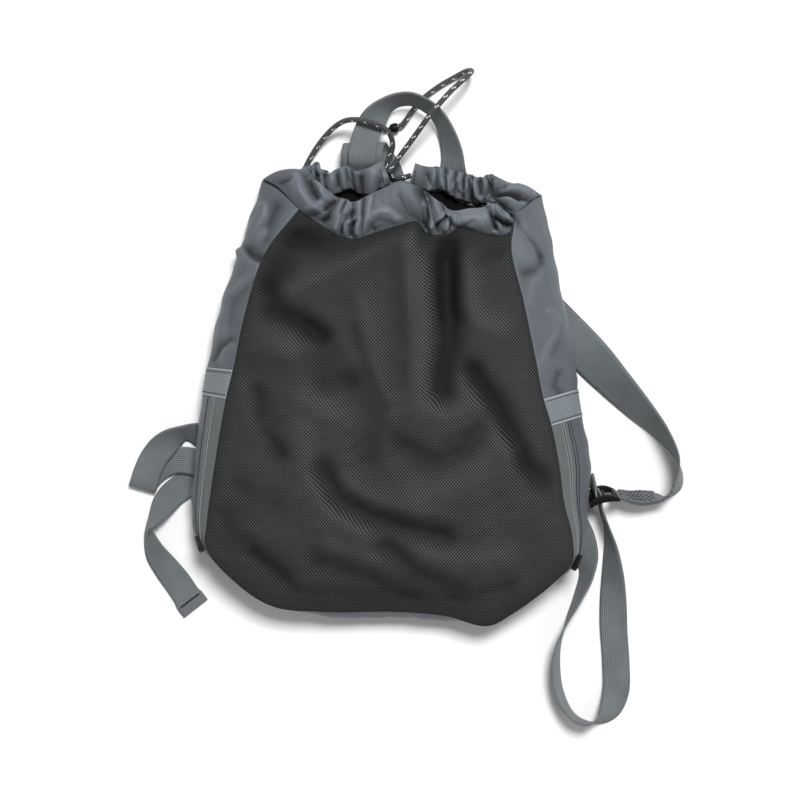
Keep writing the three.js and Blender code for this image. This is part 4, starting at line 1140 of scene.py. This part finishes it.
GUSSET_PIECES = [
    ("side_cloth_left", "side_panel_left", "nylon", tucked(side_left, LEFT_TUCK, False), NYLON_WALL),
    ("side_cloth_right", "side_panel_right", "nylon", tucked(side_right, RIGHT_TUCK, True), NYLON_WALL),
    ("pocket_cloth_left", "side_pocket_left", "nylon", pocket_left, NYLON_WALL),
    ("pocket_cloth_right", "side_pocket_right", "nylon", pocket_right, NYLON_WALL),
    ("bottom_cloth", "bottom_panel", "nylon", bottom, NYLON_WALL),
    ("elastic_left", "elastic_band_left", "elastic", elastic_left, ELASTIC_WALL),
    ("elastic_right", "elastic_band_right", "elastic", elastic_right, ELASTIC_WALL),
    ("zip_left", "zip_tape_left", "zip_tape", zip_left, ZIP_WALL),
    ("zip_right", "zip_tape_right", "zip_tape", zip_right, ZIP_WALL),
]
# The nylon pieces' inner sides are black, painted shade for the inside of the bag.
GUSSET_FINISHES = {"nylon": (nylon, nylon_inside_shade), "elastic": (elastic,), "zip_tape": (zip_tape,)}
for piece_name, node, slot, places, wall in GUSSET_PIECES:
    # Painted shade: the side folds' heights go to the nylon as its fold tone, painted darker in the
    # valleys, with ridges painted no lighter than RIDGE_TONE.
    folds = np.minimum(fold_height(SIDE_FOLDS, places, SIDE_CREASE), RIDGE_TONE)
    finish_piece(cloth(piece_name, places, wall, *GUSSET_FINISHES[slot], folds=folds), slot, node)

# Zip coils: two rows of nylon turns with a dark line of painted shade between them

for side, places, open_radius in (
    ("left", zip_left, ZIP_OPEN_RADIUS), ("right", zip_right, ZIP_SHUT_RADIUS),
):
    tape_width = path_lengths(places[:, places.shape[1] // 2])[-1]
    for row_name, off in (("inner", -COIL_OFFSET), ("outer", COIL_OFFSET)):
        path = line_on(places, COIL_SHARE + off / tape_width, ZIP_WALL / 2)
        path = resample(path, int(path_lengths(path)[-1] / COIL_PITCH * COIL_STEPS))
        turns = COIL_RADIUS + COIL_SWELL * np.sin(2 * math.pi * path_lengths(path) / COIL_PITCH)
        finish_piece(tube(f"zip_coil_{side}_{row_name}", path, turns, coil), "zip_tape")
    # Painted shade: a dark tube along the gap between the coil rows, wider where the left zip stands open
    # at its start.
    path = resample(line_on(places, COIL_SHARE, ZIP_WALL / 2 + 0.3), ZIP_POINTS)
    radii = [open_radius, ZIP_SHUT_RADIUS, ZIP_SHUT_RADIUS]
    opening = np.interp(np.linspace(0, 1, ZIP_POINTS), [0, ZIP_OPEN_SHARE, 1], radii)
    finish_piece(tube(f"zip_shade_line_{side}", path, opening, dark_thread), "zip_tape")
    path = line_on(places, 1, ZIP_WALL / 2 - 0.2)
    finish_piece(tube(f"zip_edge_{side}", path, ZIP_EDGE_RADIUS, dark_thread), "zip_tape")
path = line_on(pocket_right, POCKET_SEAM_SHARE, NYLON_WALL / 2)
finish_piece(tube("pocket_stitch_right", path, POCKET_SEAM_RADIUS, dark_thread), "nylon")

# Elastic bands: a pale overlocked edge and a dark row of stitches along each

for side, places in (("left", elastic_left), ("right", elastic_right)):
    for place_name, pale_at, dark_at in ELASTIC_EDGES:
        path = line_on(places, pale_at, ELASTIC_WALL / 2, axis=1)
        edge = tube(f"elastic_{side}_{place_name}_edge", path, OVERLOCK_RADIUS, pale_thread)
        finish_piece(edge, "elastic")
        path = line_on(places, dark_at, ELASTIC_WALL / 2, axis=1)
        stitches(f"elastic_{side}_{place_name}_stitches", [path], "elastic", ELASTIC_STITCH)

# Casing


def casing_strip(station, share):
    """Flat strip of the casing: share 0 at its seam, 1 at the mouth."""
    s = share[..., None]
    return casing_seam(station) * (1 - s) + mouth_edge(station) * s


def casing_places(columns, rows):
    """The gathered casing, up from its seam, over at the mouth and down inside, and its fold heights."""
    u, v = grid(columns, rows)
    station = u * (len(CASING_ROWS) - 1)
    share = np.interp(v, [0, CASING_UP, CASING_UP + CASING_OVER, 1], [0, 1, 1, CASING_INSIDE_END])
    over = math.pi * np.clip((v - CASING_UP) / CASING_OVER, 0, 1)
    strip = casing_strip(station, share)
    up = unit(mouth_edge(station) - casing_seam(station))
    onward = casing_strip(station + 0.05, share) - casing_strip(station - 0.05, share)
    outward = unit(np.cross(onward, up))
    puff = np.interp(station, CASING_PUFF[:, 0], CASING_PUFF[:, 1]) * 4 * share * (1 - share)
    first, last = CASING_FRONT
    front = np.clip((station - first) / CASING_FADE, 0, 1) * np.clip((last - station) / CASING_FADE, 0, 1)
    marks = np.linspace(0, len(CASING_ROWS) - 1, 400)
    travel = np.interp(station, marks, path_lengths(casing_strip(marks, np.full(400, 0.5))))
    # The gathers' pitch and depth wander along the casing.
    phase = travel / GATHER_PITCH + 0.35 * np.sin(travel / 17) + 0.35 * share * np.sin(travel / 31)
    depth = np.interp(station, GATHERS[:, 0], GATHERS[:, 1]) * np.minimum(1, 3 * share + 0.15)
    depth *= 1.1 + 0.45 * np.sin(travel / 13)
    gathers = depth * (np.abs(np.cos(math.pi * phase)) ** GATHER_ROUNDNESS - GATHER_MEAN)
    lift = front * (CASING_SLACK * fold_height(CASING_FRONT_FOLDS, strip, CASING_CREASE) + gathers)
    lift -= (1 - front) * (CASING_SLACK * fold_height(CASING_BACK_FOLDS, strip, CASING_CREASE) + gathers)
    lift *= np.minimum(1, 5 * share + 0.2)
    off = puff + lift - EDGE_RADIUS * (1 - np.cos(over))
    places = strip + outward * off[..., None] + up * (EDGE_RADIUS * np.sin(over))[..., None]
    return places, np.where(front > 0.5, lift, -lift)


casing, casing_folds = casing_places(860, 52)
# Painted shade: the casing's fold heights go to the nylon as its fold tone, painted darker down in its
# gathers and folds.
casing_cloth = cloth("casing_cloth", casing, CASING_WALL, nylon, folds=casing_folds)
finish_piece(casing_cloth, "nylon", "drawstring_casing")
# Both ends of the casing are hemmed at the gap.
hems = [line_on(casing[HEM_FIRST_ROW:], share, CASING_WALL / 2, axis=1) for share in HEM_SHARES]
stitches("casing_hem_stitches", hems, "nylon", CASING_STITCH)

# Webbing

strap("handle_webbing", "carry_handle", HANDLE_ROWS, WEBBING, 150)
strap("shoulder_webbing_right", "shoulder_strap_right", STRAP_RIGHT_ROWS, STRAP, STRAP_STEPS)
# The right strap's end is folded back at the lock and sewn down in zigzags.
strap_end = ribbon_places(STRAP_RIGHT_ROWS, STRAP, STRAP_STEPS)[0][STRAP_FOLD]
upward = normals(strap_end)
upward *= np.sign(upward[..., 2].mean())
strap_end += upward * (WEB + STRAP_FOLD_GAP)
finish_piece(cloth("shoulder_fold_right", strap_end, WEB, webbing), "webbing")
strap_end += upward * WEB / 2
zigzags = [
    np.array([strap_end[row, columns[row // 2 % 2]] for row in range(1, len(strap_end), 2)])
    for columns in STRAP_ZIGZAGS
]
stitches("shoulder_fold_stitches", zigzags, "webbing", STRAP_STITCH)
strap("shoulder_webbing_left", "shoulder_strap_left", STRAP_LEFT_ROWS, STRAP, STRAP_STEPS)
strap("adjuster_webbing_left", "adjuster_left", ADJUSTER_LEFT_ROWS, WEBBING, 260)
strap("adjuster_webbing_right", "adjuster_right", ADJUSTER_RIGHT_ROWS, WEBBING, 220)
strap("adjuster_webbing_tail", "adjuster_right_tail", ADJUSTER_TAIL_ROWS, WEBBING, 40)
hem_thread = tube("adjuster_hem_thread", resample(ADJUSTER_HEM, 12), HEM_THREAD_RADIUS, dark_thread)
finish_piece(hem_thread, "webbing")

# Right ladder lock: two arched rails and three bars, standing on edge


def lock_arch(x):
    """Height of the lock's arched middle line."""
    return LOCK_ARCH * (0.5 - (2 * x / LOCK_LENGTH) ** 2)


def rail_edge(x, side):
    """Height of a rail's upper edge, where side is 1, or lower edge, where it is -1."""
    taper = RAIL_TAPER_STRAP_END if x > 0 else RAIL_TAPER_FAR_END
    return lock_arch(x) + side * (RAIL_HALF - taper * (2 * x / LOCK_LENGTH) ** 2)


lock_work = bmesh.new()
rail_reach = np.linspace(-LOCK_LENGTH / 2, LOCK_LENGTH / 2, 15)
rail_outline = [(x, rail_edge(x, 1)) for x in rail_reach]
rail_outline += [(x, rail_edge(x, -1)) for x in rail_reach[::-1]]
for start in (-LOCK_WIDTH / 2, LOCK_WIDTH / 2 - LOCK_RAIL):
    outline = [lock_work.verts.new((x * MM, start * MM, z * MM)) for x, z in rail_outline]
    rail = lock_work.faces.new(outline)
    made = bmesh.ops.extrude_face_region(lock_work, geom=[rail])
    far_side = [v for v in made["geom"] if isinstance(v, bmesh.types.BMVert)]
    bmesh.ops.translate(lock_work, verts=far_side, vec=(0, LOCK_RAIL * MM, 0))
for x, half_wide, half_thick in LOCK_BARS:
    centre = Vector((x, 0, lock_arch(x))) * MM
    place = Matrix.Translation(centre) @ Matrix.Rotation(math.pi / 2, 4, "X")
    bmesh.ops.create_cone(
        lock_work, cap_ends=True, segments=20, radius1=MM, radius2=MM,
        depth=(LOCK_WIDTH - LOCK_RAIL) * MM, matrix=place @ Matrix.Diagonal((half_wide, half_thick, 1, 1)),
    )
bmesh.ops.recalc_face_normals(lock_work, faces=lock_work.faces)
lock_edges = sharp_edges(lock_work, LOCK_SHARP)
bmesh.ops.bevel(
    lock_work, geom=lock_edges, offset=LOCK_BEVEL * MM, segments=3, profile=0.5, affect="EDGES",
    material=-1,
)
lock_turn = Matrix.Rotation(math.radians(LOCK_TURN), 4, "Z")
lock_tilt = Matrix.Rotation(math.radians(LOCK_TILT), 4, "X")
lock_place = Matrix.Translation(Vector(LOCK_PLACE) * MM) @ lock_turn @ lock_tilt
bmesh.ops.transform(lock_work, matrix=lock_place, verts=lock_work.verts)
lock_mesh = bpy.data.meshes.new("ladder_lock_arched")
lock_work.to_mesh(lock_mesh)
lock_work.free()
finish_piece(new_object("ladder_lock_arched", lock_mesh, acetal), "black_plastic", "ladder_lock_right")

# The other moulded fittings keep their solids' shapes

for node_name in ("ladder_lock_left", "zip_slider_left", "zip_slider_right"):
    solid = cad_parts[node_name]
    solid.data.materials.clear()
    solid.data.materials.append(acetal)

# Seams round the net and at the shoulders

net_edge = front_seam(np.linspace(LEFT_SHOULDER, RIGHT_SHOULDER, 300))
finish_piece(tube("net_seam", net_edge, NET_SEAM_RADIUS, dark_thread), "net")
casing_edge = casing_seam(np.linspace(FRONT_LEFT_STATION, FRONT_RIGHT_STATION, 200))
finish_piece(tube("casing_seam", casing_edge, CASING_SEAM_RADIUS, dark_thread), "nylon")
for side, first, last in SHOULDER_SEAMS:
    path = resample(casing_seam(np.linspace(first, last, 60)), 60)
    taper = 0.25 + 0.75 * np.sin(np.linspace(0.1, math.pi - 0.1, 60))
    finish_piece(tube(f"shoulder_seam_{side}", path, taper, dark_thread), "nylon")

# Floor and light

floor_work = bmesh.new()
bmesh.ops.create_grid(floor_work, x_segments=4, y_segments=4, size=FLOOR_HALF_SIDE * MM)
floor_mesh = bpy.data.meshes.new("floor")
floor_work.to_mesh(floor_mesh)
floor_work.free()
floor_paint = make_plain("pale_floor", "#f4f4f4", 0.9, 1.45, 4, 0.02)
floor = new_object("floor", floor_mesh, floor_paint)
floor.location.z = -FLOOR_DROP * MM

world = bpy.data.worlds.new("studio")
bpy.context.scene.world = world
world.use_nodes = True
background = world.node_tree.nodes["Background"]
background.inputs["Color"].default_value = (1, 1, 1, 1)
background.inputs["Strength"].default_value = WORLD_STRENGTH
for name, place, watts, side in LIGHTS:
    light = bpy.data.lights.new(name, "AREA")
    light.energy = watts
    light.size = side
    light_object = bpy.data.objects.new(name, light)
    light_object.location = place
    light_object.rotation_euler = (-Vector(place)).to_track_quat("-Z", "Y").to_euler()
    bpy.context.scene.collection.objects.link(light_object)
bpy.context.scene.view_settings.view_transform = "Standard"
